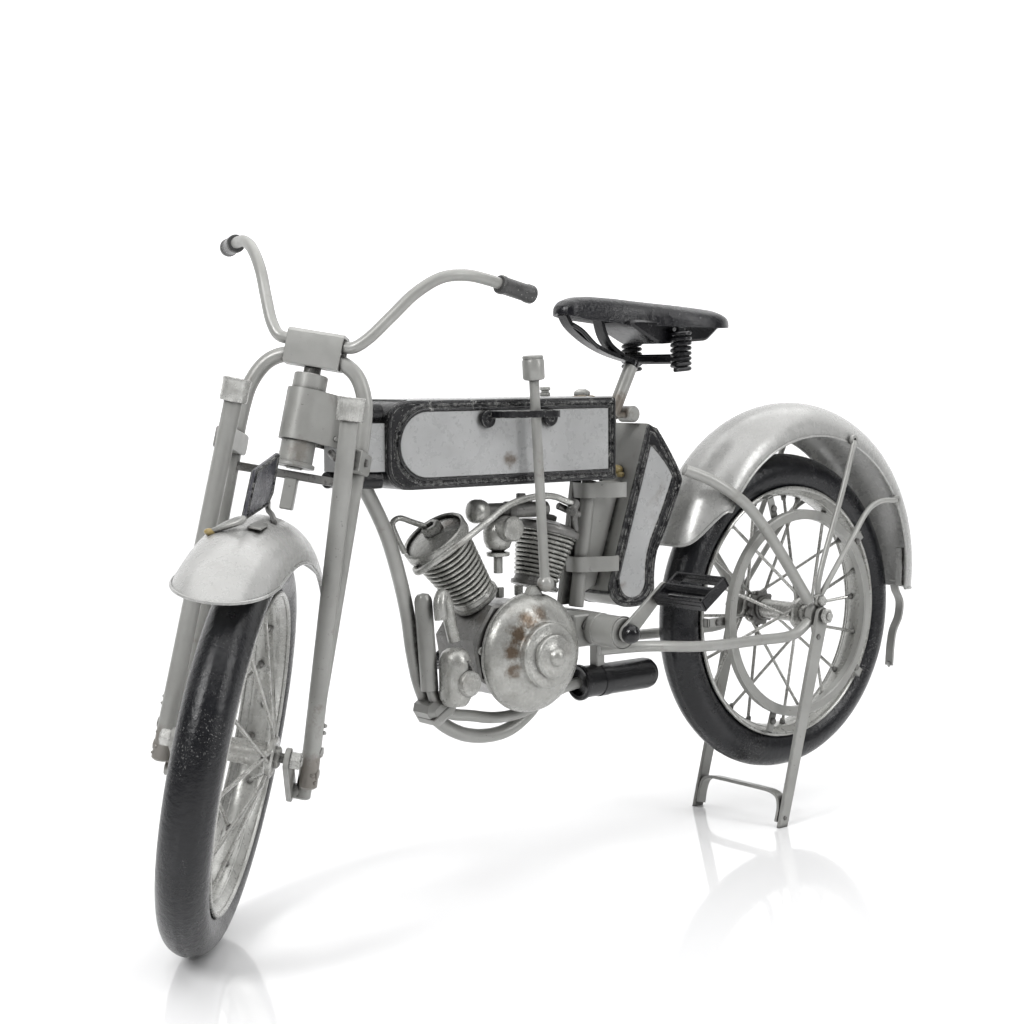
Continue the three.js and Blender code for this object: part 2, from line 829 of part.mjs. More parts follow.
function rearFender() {
  const outline = new THREE.Shape();
  outline.moveTo(0, 0);
  outline.lineTo(90, 21);
  outline.lineTo(70, 80);
  outline.lineTo(-90, 80);
  outline.lineTo(-90, -11);
  outline.lineTo(-40, -8);
  return fender(64.6, 52, FENDER_HALF, outline).translate(FENDER_CENTRE.x, 0, FENDER_CENTRE.z);
}

// One wire on each side: up to the fender, round the axle end and back to the fender's tail.
function fenderStay() {
  const upper = [
    at(-22.8, 17.4, 139.5),
    at(-15, 18.6, 121),
    at(-1, 19.3, 88),
    at(-0.4, 19.4, 81),
  ];
  const lower = [
    at(-0.4, 19.4, 81),
    at(-20, 19, 103),
    at(-30, 17.8, 112.5),
    at(-38, 17, 115.5),
    at(-48, 17, 115.5),
  ];
  return join(tube(upper, 1.1, 8, 6), tube(lower, 1.1, 10, 6));
}

function standClip() {
  const shape = new THREE.Shape();
  shape.moveTo(-69.4, 78);
  shape.lineTo(-68.2, 78);
  shape.lineTo(-70.6, 70);
  shape.lineTo(-68, 62.5);
  shape.lineTo(-65.4, 61);
  shape.lineTo(-64.6, 48);
  shape.lineTo(-66.2, 46.6);
  shape.lineTo(-67, 60);
  shape.lineTo(-69.4, 62);
  shape.lineTo(-72, 70);
  return plate(shape, -2.2, 2.2);
}

add(bike, "rear_fender", rearFender(), ENAMEL);
addPair(bike, "fender_stay", fenderStay(), ENAMEL);
add(bike, "stand_clip", standClip(), ENAMEL);

// ---- rear wheel ----
function rearAxle() {
  const profile = [
    [0, -26],
    [3, -26],
    [3, -23.2],
    [AXLE_RADIUS, -23.2],
    [AXLE_RADIUS, 23.2],
    [3, 23.2],
    [3, 26],
    [0, 26],
  ];
  return turned(profile, 12).translate(0, 0, REAR_AXLE_HEIGHT);
}

// Belt ring on the wheel's left side, held off the rim by short arms.
function beltRing() {
  const profile = [
    [35, 9.6],
    [38.4, 9.6],
    [38.4, 12.6],
    [35, 12.6],
    [35, 9.6],
  ];
  const arms = [];
  const count = 5;
  for (let i = 0; i < count; i += 1) {
    const arm = box(at(37, 8.2, -1.6), at(46.4, 10.4, 1.6));
    const foot = box(at(44.8, 6.2, -1.6), at(46.4, 10.4, 1.6));
    const turn = (i / count) * Math.PI * 2;
    arms.push(arm.rotateY(turn), foot.rotateY(turn));
  }
  return join(turned(profile, 30), ...arms);
}

add(bike, "rear_axle", rearAxle(), STEEL);
add(rearWheel, "rear_tyre", tyre(), RUBBER);
add(rearWheel, "rear_rim", rim(), STEEL);
add(rearWheel, "rear_hub", spokedHub(), WIRE);
add(rearWheel, "belt_ring", beltRing(), ENAMEL);

// ---- stand: two flat legs and the bent bridge between them, turning on the rear axle ----
function standLeg() {
  const shape = new THREE.Shape();
  const top = REAR_AXLE_HEIGHT;
  shape.moveTo(23.2, 0);
  shape.lineTo(18.2, 0);
  shape.lineTo(-3, top - 1);
  shape.absarc(0, top, 3.2, degrees(198), degrees(15), true);
  const bore = rod(at(0, 10, top), at(0, 30, top), AXLE_RADIUS + GAP, 12);
  return cut(plate(shape, STAND_HALF_SPACING - 0.9, STAND_HALF_SPACING + 0.9), bore);
}

// A flat strip bent down at both ends along the legs.
function standBridge() {
  const half = [
    at(20.6, 20.6, 1.6),
    at(19.4, 20.6, 7),
    at(18.9, 19, 10.6),
    at(18.8, 16, 11.9),
    at(18.8, 8, 12.2),
  ];
  const points = [...half, at(18.8, 0, 12.2), ...mirrored(half)];
  const path = new THREE.CatmullRomCurve3(points, false, "centripetal");
  const section = new THREE.Shape([flat(-0.6, -1.9), flat(0.6, -1.9), flat(0.6, 1.9), flat(-0.6, 1.9)]);
  return new THREE.ExtrudeGeometry(section, { steps: 24, extrudePath: path });
}

function stand() {
  const leg = standLeg();
  return join(leg, mirrorY(leg), standBridge());
}

add(bike, "stand", stand(), ENAMEL);

// ---- hand lever beside the tank ----
const LEVER_FOOT = at(126.9, 15.6, 94.2);
const LEVER_KNOB = at(131.3, 15.6, 162.4);

function handLever() {
  const shaft = rod(LEVER_FOOT, LEVER_KNOB, 1.7, 10);
  const ball = new THREE.SphereGeometry(2.9, 8, 6).translate(126.7, 15.2, 97.2);
  const knob = rod(LEVER_KNOB, at(131.8, 15.6, 170.6), 3.6, 14);
  return join(shaft, ball, knob);
}

add(bike, "hand_lever", handLever(), ENAMEL);

// ---- crankset and pedals ----
const ARM_INNER = 26.8;
const PEDAL_INNER = 29.2;
const PEDAL_OUTER = 52;
const PEDAL_CENTRE = CRANK_CENTRE.clone().add(CRANK_ARM);

function crankArm() {
  const along = CRANK_ARM.length();
  const geometry = box(at(-2.4, ARM_INNER, -1.8), at(along + 2.2, ARM_INNER + 1.5, 1.8));
  geometry.rotateY(-Math.atan2(CRANK_ARM.z, CRANK_ARM.x));
  return geometry.translate(CRANK_CENTRE.x, 0, CRANK_CENTRE.z);
}

// One crank with its spindle and end ball, on the left.
function halfCrank() {
  const low = at(PEDAL_CENTRE.x, ARM_INNER + 0.5, PEDAL_CENTRE.z);
  const high = at(PEDAL_CENTRE.x, PEDAL_OUTER - 1.6, PEDAL_CENTRE.z);
  const ball = new THREE.SphereGeometry(3.3, 8, 6);
  ball.translate(CRANK_CENTRE.x, ARM_INNER + 2.9, CRANK_CENTRE.z);
  return join(crankArm(), rod(low, high, 0.9, 8), ball);
}

// The right crank is the left one mirrored and turned half round.
function halfTurn(geometry) {
  geometry.translate(-CRANK_CENTRE.x, 0, -CRANK_CENTRE.z);
  geometry.rotateY(Math.PI);
  return geometry.translate(CRANK_CENTRE.x, 0, CRANK_CENTRE.z);
}

function crankset() {
  return join(crossRod(2.2, ARM_INNER + 1, 12), halfCrank(), halfTurn(mirrorY(halfCrank())));
}

// A rat-trap pedal: two toothless side plates, two end plates and the tube on the spindle.
function pedal() {
  const half = 6.2;
  const sides = [-half, half].map((x) => box(at(x - 0.6, PEDAL_INNER, -2), at(x + 0.6, PEDAL_OUTER, 2)));
  const ends = [PEDAL_INNER, PEDAL_OUTER - 1].map((y) => box(at(-half, y, -2), at(half, y + 1, 2)));
  const barrel = rod(at(0, PEDAL_INNER, 0), at(0, PEDAL_OUTER, 0), 2.1, 10);
  const bore = rod(at(0, PEDAL_INNER - 2, 0), at(0, PEDAL_OUTER - 1, 0), 0.9 + GAP, 8);
  return cut(join(...sides, ...ends, barrel), bore).rotateY(degrees(35));
}

add(bike, "crankset", crankset(), ENAMEL);
const leftPedal = pedal().translate(PEDAL_CENTRE.x, 0, PEDAL_CENTRE.z);
add(bike, "pedal_left", leftPedal, BLACK);
add(bike, "pedal_right", halfTurn(mirrorY(leftPedal)), BLACK);

// ---- steering: stem, clamp, fork, handlebar ----
const LOOP_HEIGHT = 174.4;
const FORK_LEFT = [
  at(-5, 20, 45),
  at(-3, 19.8, 80),
  at(-1, 19.2, 130),
  at(0.6, 18.8, 156),
  at(1, 17.6, 164),
  at(1.2, 14.4, 170.4),
  at(1.4, 10.5, 173.4),
  at(1.4, 6, LOOP_HEIGHT),
];

function forkTube(radius) {
  return tube([...FORK_LEFT, ...mirrored(FORK_LEFT)], radius, 32, 7);
}

// The stem runs through the head tube and carries the folded sheet clamp.
function steeringStem() {
  const stem = rod(at(0, 0, 140.4), at(0, 0, 171.6), STEM_RADIUS, 12);
  const clamp = box(at(-4.6, -8.7, 170.6), at(4.9, 8.7, 182.4));
  const barRoom = handlebar(BAR_TUBE + GAP).rotateX(BAR_ROLL).rotateZ(BAR_TWIST);
  barRoom.translate(0, 0, BAR_HEIGHT);
  return cut(join(stem, clamp), forkTube(FORK_TUBE + GAP), barRoom);
}

const BAR_LEFT = [
  at(0.8, 0, 0),
  at(0.8, 8.8, 0),
  at(1.2, 12.4, 0.6),
  at(0.4, 15.8, 4),
  at(-1.8, 20.6, 12),
  at(-4.4, 25.6, 20.6),
  at(-8, 31.4, 27.2),
  at(-13.4, 37, 30.2),
  at(-20, 42, 31.2),
  at(-26.6, 46.6, 31.4),
];

function handlebar(radius) {
  return tube([...mirrored(BAR_LEFT.slice(1)), ...BAR_LEFT], radius, 34, 7);
}

const GRIP_START = at(-23.8, 44.7, 31.2);
const GRIP_END = at(-35.2, 52.6, 31.6);

function grip() {
  const length = GRIP_START.distanceTo(GRIP_END);
  const bore = BAR_TUBE + GAP;
  const profile = [
    [0, 4.2],
    [bore, 4.2],
    [bore, 0],
    [3.1, 0],
    [3.1, length],
    [0, length],
  ];
  return turnedAlong(profile, 12, GRIP_START, GRIP_END);
}

const LEG_FOOT = at(3, 22.6, 48.5);
const LEG_CAP = at(17.6, 17.2, 162.5);

function springLeg() {
  const length = LEG_FOOT.distanceTo(LEG_CAP);
  const profile = [
    [0, 0],
    [2.7, 0],
    [2.7, length - 7],
    [4.2, length - 7],
    [4.3, length],
    [0, length],
  ];
  return turnedAlong(profile, 12, LEG_FOOT, LEG_CAP);
}

// Cross bar with its tongue, and the two clips that tie each spring leg to the fork tube.
function forkBridge() {
  const bar = box(at(-1.2, -17.5, 137.2), at(0.8, 17.5, 139.9));
  const tongue = box(at(-1.2, -2, 128), at(1.4, 2, 138));
  const clip = box(at(-3.9, 15.2, 137.2), at(15, 22.4, 148.6));
  const parts = join(bar, tongue, clip, mirrorY(clip));
  const leg = rod(LEG_FOOT, LEG_CAP, 2.7 + GAP, 12);
  return cut(parts, forkTube(FORK_TUBE + GAP), leg, mirrorY(leg));
}

// Short link from the fork tube's foot to the axle.
function rocker() {
  const low = 15.6;
  const high = 17.4;
  const shape = new THREE.Shape();
  shape.absarc(FRONT_AXLE.x, FRONT_AXLE.z, 3.4, degrees(-65), degrees(115), false);
  shape.absarc(-4, 46, 3.4, degrees(115), degrees(295), false);
  const bore = rod(at(0, 10, 0), at(0, 30, 0), AXLE_RADIUS + GAP, 12);
  bore.translate(FRONT_AXLE.x, 0, FRONT_AXLE.z);
  return cut(plate(shape, low, high), bore);
}

function frontAxle() {
  const profile = [
    [0, -21],
    [2.8, -21],
    [2.8, -17.8],
    [AXLE_RADIUS, -17.8],
    [AXLE_RADIUS, 17.8],
    [2.8, 17.8],
    [2.8, 21],
    [0, 21],
  ];
  return turned(profile, 12).translate(FRONT_AXLE.x, 0, FRONT_AXLE.z);
}

function frontFender() {
  const outline = new THREE.Shape();
  outline.moveTo(20, 30);
  outline.lineTo(38, 45);
  outline.lineTo(62, 38);
  outline.lineTo(72, 72);
  outline.lineTo(-44, 72);
  outline.lineTo(-20, 30);
  return fender(68, 56, 14, outline).translate(FRONT_AXLE.x, 0, FRONT_AXLE.z);
}

function numberPlate() {
  const shape = new THREE.Shape();
  shape.moveTo(49, 120.4);
  shape.lineTo(47.6, 135);
  shape.lineTo(25.4, 142.6);
  shape.lineTo(24.4, 130.4);
  shape.lineTo(27.6, 126.4);
  return plate(shape, 0, 1.4);
}

add(steering, "steering_stem", steeringStem(), ENAMEL);
add(steering, "fork_tube", forkTube(FORK_TUBE), ENAMEL);
add(bars, "handlebar", handlebar(BAR_TUBE), ENAMEL);
addPair(bars, "grip", grip(), BLACK);
addPair(steering, "spring_leg", springLeg(), ENAMEL);
add(steering, "fork_bridge", forkBridge(), ENAMEL);
const forkRoom = forkTube(FORK_TUBE + GAP).rotateZ(-WHEEL_TWIST);
add(wheelEnd, "rocker_left", cut(rocker(), forkRoom), ENAMEL);
add(wheelEnd, "rocker_right", cut(mirrorY(rocker()), forkRoom), ENAMEL);
add(wheelEnd, "front_axle", frontAxle(), STEEL);
add(steering, "front_fender", frontFender(), ENAMEL);
add(steering, "number_plate", numberPlate(), DARK_ENAMEL);

// ---- front wheel ----
add(frontWheel, "front_tyre", tyre(), RUBBER);
add(frontWheel, "front_rim", rim(), STEEL);
add(frontWheel, "front_hub", spokedHub(), WIRE);

export default motorcycle;
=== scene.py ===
"""Tin model motorcycle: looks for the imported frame. Shapes are given in millimetres from the rear axle."""

import math

import bmesh
import bpy
from mathutils import Matrix, Vector


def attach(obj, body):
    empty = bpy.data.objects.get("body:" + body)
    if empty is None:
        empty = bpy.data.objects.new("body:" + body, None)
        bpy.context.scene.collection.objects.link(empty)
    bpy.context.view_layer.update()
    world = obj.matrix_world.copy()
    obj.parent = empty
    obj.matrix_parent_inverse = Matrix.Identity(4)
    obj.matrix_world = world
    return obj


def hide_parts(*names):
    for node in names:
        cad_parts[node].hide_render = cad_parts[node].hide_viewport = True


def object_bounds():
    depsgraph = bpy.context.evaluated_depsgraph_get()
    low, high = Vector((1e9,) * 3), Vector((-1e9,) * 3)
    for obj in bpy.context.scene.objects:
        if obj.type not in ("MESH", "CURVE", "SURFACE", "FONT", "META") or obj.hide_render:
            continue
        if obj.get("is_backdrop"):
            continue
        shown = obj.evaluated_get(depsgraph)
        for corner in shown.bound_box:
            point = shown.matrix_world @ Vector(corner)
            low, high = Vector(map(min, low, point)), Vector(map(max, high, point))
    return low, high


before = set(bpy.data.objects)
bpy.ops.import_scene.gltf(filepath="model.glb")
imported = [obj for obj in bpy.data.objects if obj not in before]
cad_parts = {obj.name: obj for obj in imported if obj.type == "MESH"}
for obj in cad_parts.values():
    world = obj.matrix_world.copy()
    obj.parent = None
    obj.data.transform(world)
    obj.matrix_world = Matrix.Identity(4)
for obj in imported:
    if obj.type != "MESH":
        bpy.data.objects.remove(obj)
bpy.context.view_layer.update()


def rot(degrees, axis):
    return Matrix.Rotation(math.radians(degrees), 4, axis)


def move(x, y, z):
    return Matrix.Translation((x, y, z))


# ---- places: millimetre frames of the bike, the steering and the wheels ----
BIKE = Matrix.Scale(0.001, 4) @ move(-106.41, 1.27, 0)
RAKED = BIKE @ move(244.9, 0, 0) @ rot(-13.57, "Y")
STEER = RAKED @ rot(45, "Z")
BARS = STEER @ move(0, 0, 179) @ rot(-9, "Z") @ rot(-1.6, "X")
WHEEL_END = STEER @ rot(5, "Z")
FRONT = WHEEL_END @ move(18.45, 0, 56.9)
REAR = BIKE @ move(0, 0, 75.6)
ALONG_Y = rot(-90, "X")
SIDES = (1, -1)

# ---- camera ----
AZIMUTH, ELEVATION, ROLL = math.radians(38.77), math.radians(4.33), math.radians(-0.36)
back = Vector((math.sin(AZIMUTH) * math.cos(ELEVATION), math.cos(AZIMUTH) * math.cos(ELEVATION),
    math.sin(ELEVATION)))
right = (-back).cross(Vector((0, 0, 1))).normalized()
up = back.cross(right)
right, up = right * math.cos(ROLL) + up * math.sin(ROLL), up * math.cos(ROLL) - right * math.sin(ROLL)
camera = bpy.data.objects.new("camera", bpy.data.cameras.new("camera"))
bpy.context.scene.collection.objects.link(camera)
camera.data.lens = 62.5
camera.data.sensor_width = 36
camera.data.clip_start = 0.01
camera.matrix_world = Matrix.Translation(BIKE @ Vector((494.3, 455.9, 163.5))) @ Matrix((right, up,
    back)).transposed().to_4x4()
bpy.context.scene.camera = camera


# ---- materials ----
class Nodes:
    """A material's node tree with short ways to add and join nodes."""

    def __init__(self, name):
        self.material = bpy.data.materials.new(name)
        self.material.use_nodes = True
        self.tree = self.material.node_tree
        self.shader = self.tree.nodes["Principled BSDF"]
        self.coords = self.tree.nodes.new("ShaderNodeTexCoord").outputs["Object"]

    def node(self, kind, inputs=None, **settings):
        made = self.tree.nodes.new(kind)
        for key, value in settings.items():
            setattr(made, key, value)
        for key, value in (inputs or {}).items():
            self.set(made.inputs[key], value)
        return made

    def set(self, socket, value):
        if isinstance(value, bpy.types.NodeSocket):
            self.tree.links.new(value, socket)
        else:
            socket.default_value = value

    def noise(self, scale, detail=4, rough=0.6, distortion=0):
        inputs = {"Vector": self.coords, "Scale": scale, "Detail": detail, "Roughness": rough,
            "Distortion": distortion}
        return self.node("ShaderNodeTexNoise", inputs).outputs["Fac"]

    def ramp(self, value, low, high, start=0.0, end=1.0):
        inputs = {"Value": value, "From Min": low, "From Max": high, "To Min": start, "To Max": end}
        return self.node("ShaderNodeMapRange", inputs, clamp=True).outputs["Result"]

    def times(self, a, b):
        return self.math("MULTIPLY", a, b)

    def math(self, operation, a, b, c=0.0):
        made = self.node("ShaderNodeMath", {0: a, 1: b, 2: c}, operation=operation, use_clamp=True)
        return made.outputs[0]

    def mix(self, factor, a, b):
        made = self.node("ShaderNodeMix", data_type="RGBA")
        self.set(made.inputs[0], factor)
        self.set(made.inputs[6], a)
        self.set(made.inputs[7], b)
        return made.outputs[2]

    # One minus ambient occlusion: high in seams and crevices, where the paints lay painted shade
    def crevice(self, distance):
        occlusion = self.node("ShaderNodeAmbientOcclusion", {"Distance": distance}, samples=6)
        return self.math("SUBTRACT", 1.0, occlusion.outputs["AO"])

    def edge(self, radius):
        bevel = self.node("ShaderNodeBevel", {"Radius": radius}, samples=4).outputs["Normal"]
        normal = self.node("ShaderNodeNewGeometry").outputs["Normal"]
        dot = self.node("ShaderNodeVectorMath", {0: bevel, 1: normal},
            operation="DOT_PRODUCT").outputs["Value"]
        return self.ramp(dot, 0.985, 0.85)

    def near(self, place, radius):
        """One within a radius in millimetres of a place, with a ragged edge, and nought elsewhere."""
        spot = self.node("ShaderNodeVectorMath", {0: self.coords}, operation="DISTANCE")
        spot.inputs[1].default_value = place
        ragged = self.math("MULTIPLY_ADD", self.noise(330, 6, 0.75), 0.009, spot.outputs["Value"])
        return self.ramp(ragged, radius * 0.001 + 0.0058, radius * 0.001 + 0.0032)

    def finish(self, colour, roughness, metallic, height, depth, coat=0.0):
        self.set(self.shader.inputs["Base Color"], colour)
        self.set(self.shader.inputs["Roughness"], roughness)
        self.set(self.shader.inputs["Metallic"], metallic)
        self.shader.inputs["Coat Weight"].default_value = coat
        bump = self.node("ShaderNodeBump", {"Height": height, "Strength": 0.6, "Distance": depth})
        self.set(self.shader.inputs["Normal"], bump.outputs["Normal"])
        return self.material


def rgba(r, g, b):
    return (r, g, b, 1.0)


# Near-black for grime and pits, and for painted shade in seams
GRIME_AND_SHADE = rgba(0.03, 0.028, 0.025)
RUST = rgba(0.1, 0.068, 0.042)


def paint(name, base, shade, roughness=0.34, metallic=0.25, shade_and_grime=0.95, rust=0.5, pits=0.7, reach=0.0028,
        spots=()):
    """Old enamel: cloudy colour, painted shade in the seams, dark grime lines along edges, brown stains, and
    clusters of pits.
    """
    n = Nodes(name)
    cloud = n.ramp(n.noise(45, 5), 0.35, 0.65)
    fine = n.noise(800, 6, 0.7)
    colour = n.mix(cloud, base, shade)
    stain = n.ramp(n.noise(75, 8, 0.7, 0.5), 0.6, 0.72)
    colour = n.mix(n.times(stain, rust), colour, RUST)
    ragged = n.ramp(n.noise(300, 6, 0.7), 0.36, 0.58)
    # Painted shade: darker where ambient occlusion finds other surfaces close by, in seams and crevices
    seam_shade = n.ramp(n.crevice(reach), 0.16, 0.5)
    line = n.times(n.edge(0.00035), n.ramp(n.noise(130, 5), 0.4, 0.52))
    # Painted seam shade, made ragged by noise, together with grime lines along edges; both darken the colour
    # towards near-black
    shade_and_grime_mask = n.math("MAXIMUM", n.times(seam_shade, n.ramp(ragged, 0, 1, 0.55, 1.0)), n.times(line, ragged))
    colour = n.mix(n.times(shade_and_grime_mask, shade_and_grime), colour, GRIME_AND_SHADE)
    cluster = n.ramp(n.noise(55, 3), 0.5, 0.62)
    pit = n.times(n.ramp(n.noise(1100, 2), 0.69, 0.74), cluster)
    colour = n.mix(n.times(pit, pits), colour, GRIME_AND_SHADE)
    for place, radius, strength in spots:
        colour = n.mix(n.times(n.near(place, radius), strength), colour, RUST)
    rough = n.ramp(n.noise(260, 6, 0.7), 0.3, 0.7, roughness - 0.08, roughness + 0.12)
    swell = n.math("ADD", n.times(fine, 0.4), n.times(n.noise(240, 3), 0.4))
    height = n.math("SUBTRACT", swell, n.times(pit, 0.5))
    return n.finish(colour, rough, metallic, height, 0.0001)


def black_paint(name, base, worn, roughness=0.24, wear=0.7, specks=0.5, depth=0.0004, gloss=0.35, rub=0.0):
    """Semi-gloss black that shows pale metal at worn edges, in rubbed streaks and in a few specks."""
    n = Nodes(name)
    cloud = n.ramp(n.noise(60, 5), 0.3, 0.7)
    colour = n.mix(cloud, base, rgba(base[0] * 1.7, base[1] * 1.7, base[2] * 1.7))
    chips = n.ramp(n.noise(420, 6, 0.75), 0.46, 0.58)
    edge = n.times(n.times(n.edge(0.0004), chips), wear)
    streaks = n.times(n.ramp(n.noise(150, 8, 0.85), 0.6, 0.64), rub)
    colour = n.mix(n.math("MAXIMUM", edge, streaks), colour, worn)
    speck = n.times(n.ramp(n.noise(1500, 1), 0.72, 0.75), specks)
    colour = n.mix(speck, colour, worn)
    fine = n.noise(380, 6, 0.7)
    rough = n.ramp(n.noise(170, 6, 0.7), 0.3, 0.7, roughness - 0.08, roughness + 0.12)
    n.shader.inputs["Specular IOR Level"].default_value = gloss
    return n.finish(colour, rough, 0.0, fine, depth)


def tyre_rubber():
    n = Nodes("tyre_rubber")
    cloud = n.ramp(n.noise(38, 6), 0.35, 0.7)
    colour = n.mix(cloud, rgba(0.004, 0.0042, 0.0055), rgba(0.01, 0.0105, 0.013))
    patch = n.ramp(n.noise(45, 5, 0.7), 0.5, 0.62)
    dust = n.times(n.ramp(n.noise(2100, 3, 0.7), 0.6, 0.65), patch)
    colour = n.mix(n.times(dust, 0.6), colour, rgba(0.33, 0.33, 0.32))
    fine = n.noise(520, 6, 0.65)
    rough = n.ramp(n.noise(90, 6, 0.7), 0.3, 0.7, 0.16, 0.34)
    n.shader.inputs["Specular IOR Level"].default_value = 0.42
    return n.finish(colour, rough, 0.0, fine, 0.0004)


def bare_metal(name, base, shade, roughness, metallic=0.7, shade_and_grime=0.95, reach=0.0035, rust=0.4, spots=()):
    """Dull metal with streaks, painted shade where pieces meet, dark grime lines along edges, and brown
    spots.
    """
    n = Nodes(name)
    streak = n.ramp(n.noise(170, 7, 0.7, 1.0), 0.32, 0.68)
    colour = n.mix(streak, base, shade)
    stain = n.ramp(n.noise(60, 8, 0.7), 0.58, 0.7)
    colour = n.mix(n.times(stain, rust), colour, RUST)
    # Painted shade where pieces meet, from ambient occlusion, mixed towards near-black together with grime
    # lines along edges
    seam_shade = n.ramp(n.crevice(reach), 0.14, 0.5)
    line = n.times(n.edge(0.0004), n.ramp(n.noise(210, 6), 0.42, 0.54))
    colour = n.mix(n.times(n.math("MAXIMUM", seam_shade, line), shade_and_grime), colour, GRIME_AND_SHADE)
    for place, radius, strength in spots:
        colour = n.mix(n.times(n.near(place, radius), strength), colour, RUST)
    fine = n.noise(620, 6, 0.7)
    rough = n.ramp(n.noise(260, 6, 0.7), 0.3, 0.7, roughness - 0.1, roughness + 0.16)
    return n.finish(colour, rough, metallic, fine, 0.00022)


BROWNED = (
    (STEER @ Vector((3, 23.6, 52)), 7, 0.5), (STEER @ Vector((3, -23.6, 52)), 7, 0.4),
    (RAKED @ Vector((2, 5, 146)), 3, 0.4), (BIKE @ Vector((101, 6, 82)), 3, 0.6),
    (BIKE @ Vector((82, 1, 153)), 4.5, 0.7), (BIKE @ Vector((163, 5, 62)), 2.5, 0.4),
)
COVER_SPOTS = (
    (BIKE @ Vector((141.6, 19.8, 82)), 3.0, 0.95), (BIKE @ Vector((143.8, 19.4, 76.6)), 2.6, 0.95),
    (BIKE @ Vector((143.6, 19.4, 70.6)), 2.0, 0.9), (BIKE @ Vector((137.6, 19.6, 86.4)), 3.0, 0.95),
    (BIKE @ Vector((132.4, 19.6, 88.2)), 2.4, 0.85), (BIKE @ Vector((155.4, 2, 117)), 2.6, 0.7),
    (BIKE @ Vector((122, 4, 121)), 2.6, 0.6),
)
ENAMEL = paint("grey_enamel", rgba(0.38, 0.38, 0.365), rgba(0.3, 0.3, 0.285), pits=0.8, spots=BROWNED)
PANEL = paint(
    "panel_enamel", rgba(0.46, 0.465, 0.465), rgba(0.38, 0.385, 0.385), 0.28, 0.2, rust=0.3, pits=0.6,
    spots=((BIKE @ Vector((137.4, 10.7, 137)), 2.0, 0.8), (BIKE @ Vector((86.2, 7.6, 92)), 0.9, 0.6)),
)
FENDER = paint("fender_enamel", rgba(0.44, 0.44, 0.43), rgba(0.38, 0.38, 0.37), 0.26, 0.25, 0.9, 0.15, 0.5,
    0.0025)
RIM = paint("rim_enamel", rgba(0.47, 0.47, 0.45), rgba(0.36, 0.36, 0.34), 0.26, 0.4, 0.85, 0.3, 0.5, 0.0018)
PLATE_GREY = black_paint("dark_enamel", rgba(0.025, 0.025, 0.032), rgba(0.3, 0.3, 0.29), 0.26, 0.9, 0.4)
EDGE_BLACK = black_paint("edge_black", rgba(0.005, 0.005, 0.006), rgba(0.42, 0.42, 0.4), 0.2, 0.9, 0.4,
    0.0004, 0.4, 0.3)
RIDGE = black_paint("worn_ridge", rgba(0.005, 0.005, 0.006), rgba(0.5, 0.5, 0.48), 0.16, 0.9, 0.4, 0.0004,
    0.55, 0.75)
BLACK = black_paint("gloss_black", rgba(0.0045, 0.0045, 0.0055), rgba(0.2, 0.2, 0.2), 0.2, 0.2, 0.3, 0.0002,
    0.5)
LEATHER = black_paint("glossy_leather", rgba(0.003, 0.003, 0.0045), rgba(0.2, 0.2, 0.2), 0.18, 0.3, 0.4,
    0.0005, 0.45)
GRIP = black_paint("grip_worn", rgba(0.05, 0.05, 0.05), rgba(0.42, 0.42, 0.4), 0.26, 0.9, 0.9, rub=0.15)
ENGINE = bare_metal("engine_metal", rgba(0.46, 0.46, 0.44), rgba(0.33, 0.33, 0.31), 0.24, 0.5, 0.95, 0.002,
    0.3, COVER_SPOTS)
DARK_ENGINE = bare_metal("engine_dark", rgba(0.15, 0.15, 0.145), rgba(0.23, 0.225, 0.215), 0.3, 0.4, rust=0.5)
FINS = bare_metal("fin_metal", rgba(0.56, 0.56, 0.53), rgba(0.4, 0.4, 0.375), 0.22, 0.6, 0.85, 0.0011, 0.2)
STEEL = bare_metal("dull_steel", rgba(0.54, 0.54, 0.52), rgba(0.42, 0.42, 0.4), 0.24, 0.5, 0.8, 0.002, 0.25)
WIRE = bare_metal("spoke_wire", rgba(0.52, 0.52, 0.5), rgba(0.34, 0.335, 0.315), 0.24, 0.6, 0.8, 0.0015, 0.25)
BRASS = bare_metal("old_brass", rgba(0.24, 0.18, 0.1), rgba(0.12, 0.095, 0.065), 0.36, 0.7)
GLUE = paint("old_glue", rgba(0.42, 0.34, 0.16), rgba(0.3, 0.22, 0.08), 0.3, 0.0, 0.3, 0.8)
TYRE = tyre_rubber()


# ---- shape helpers ----
def curve_points(points, steps=7):
    """Points of a smooth curve through the given ones (centripetal Catmull-Rom)."""
    p = [Vector(q) for q in points]
    if len(p) < 3:
        return p
    p = [2 * p[0] - p[1], *p, 2 * p[-1] - p[-2]]
    out = []
    for i in range(1, len(p) - 2):
        knots = [0.0]
        for j in range(i - 1, i + 2):
            knots.append(knots[-1] + max((p[j + 1] - p[j]).length, 1e-6) ** 0.5)
        t0, t1, t2, t3 = knots
        for k in range(steps):
            t = t1 + (t2 - t1) * k / steps
            a1 = p[i - 1].lerp(p[i], (t - t0) / (t1 - t0))
            a2 = p[i].lerp(p[i + 1], (t - t1) / (t2 - t1))
            a3 = p[i + 1].lerp(p[i + 2], (t - t2) / (t3 - t2))
            b1 = a1.lerp(a2, (t - t0) / (t2 - t0))
            b2 = a2.lerp(a3, (t - t1) / (t3 - t1))
            out.append(b1.lerp(b2, (t - t1) / (t2 - t1)))
    out.append(p[-2])
    return out


def aim(start, towards):
    """The place at start whose Z axis points towards the other point."""
    direction = Vector(towards) - Vector(start)
    return Matrix.Translation(start) @ direction.to_track_quat("Z", "Y").to_matrix().to_4x4()


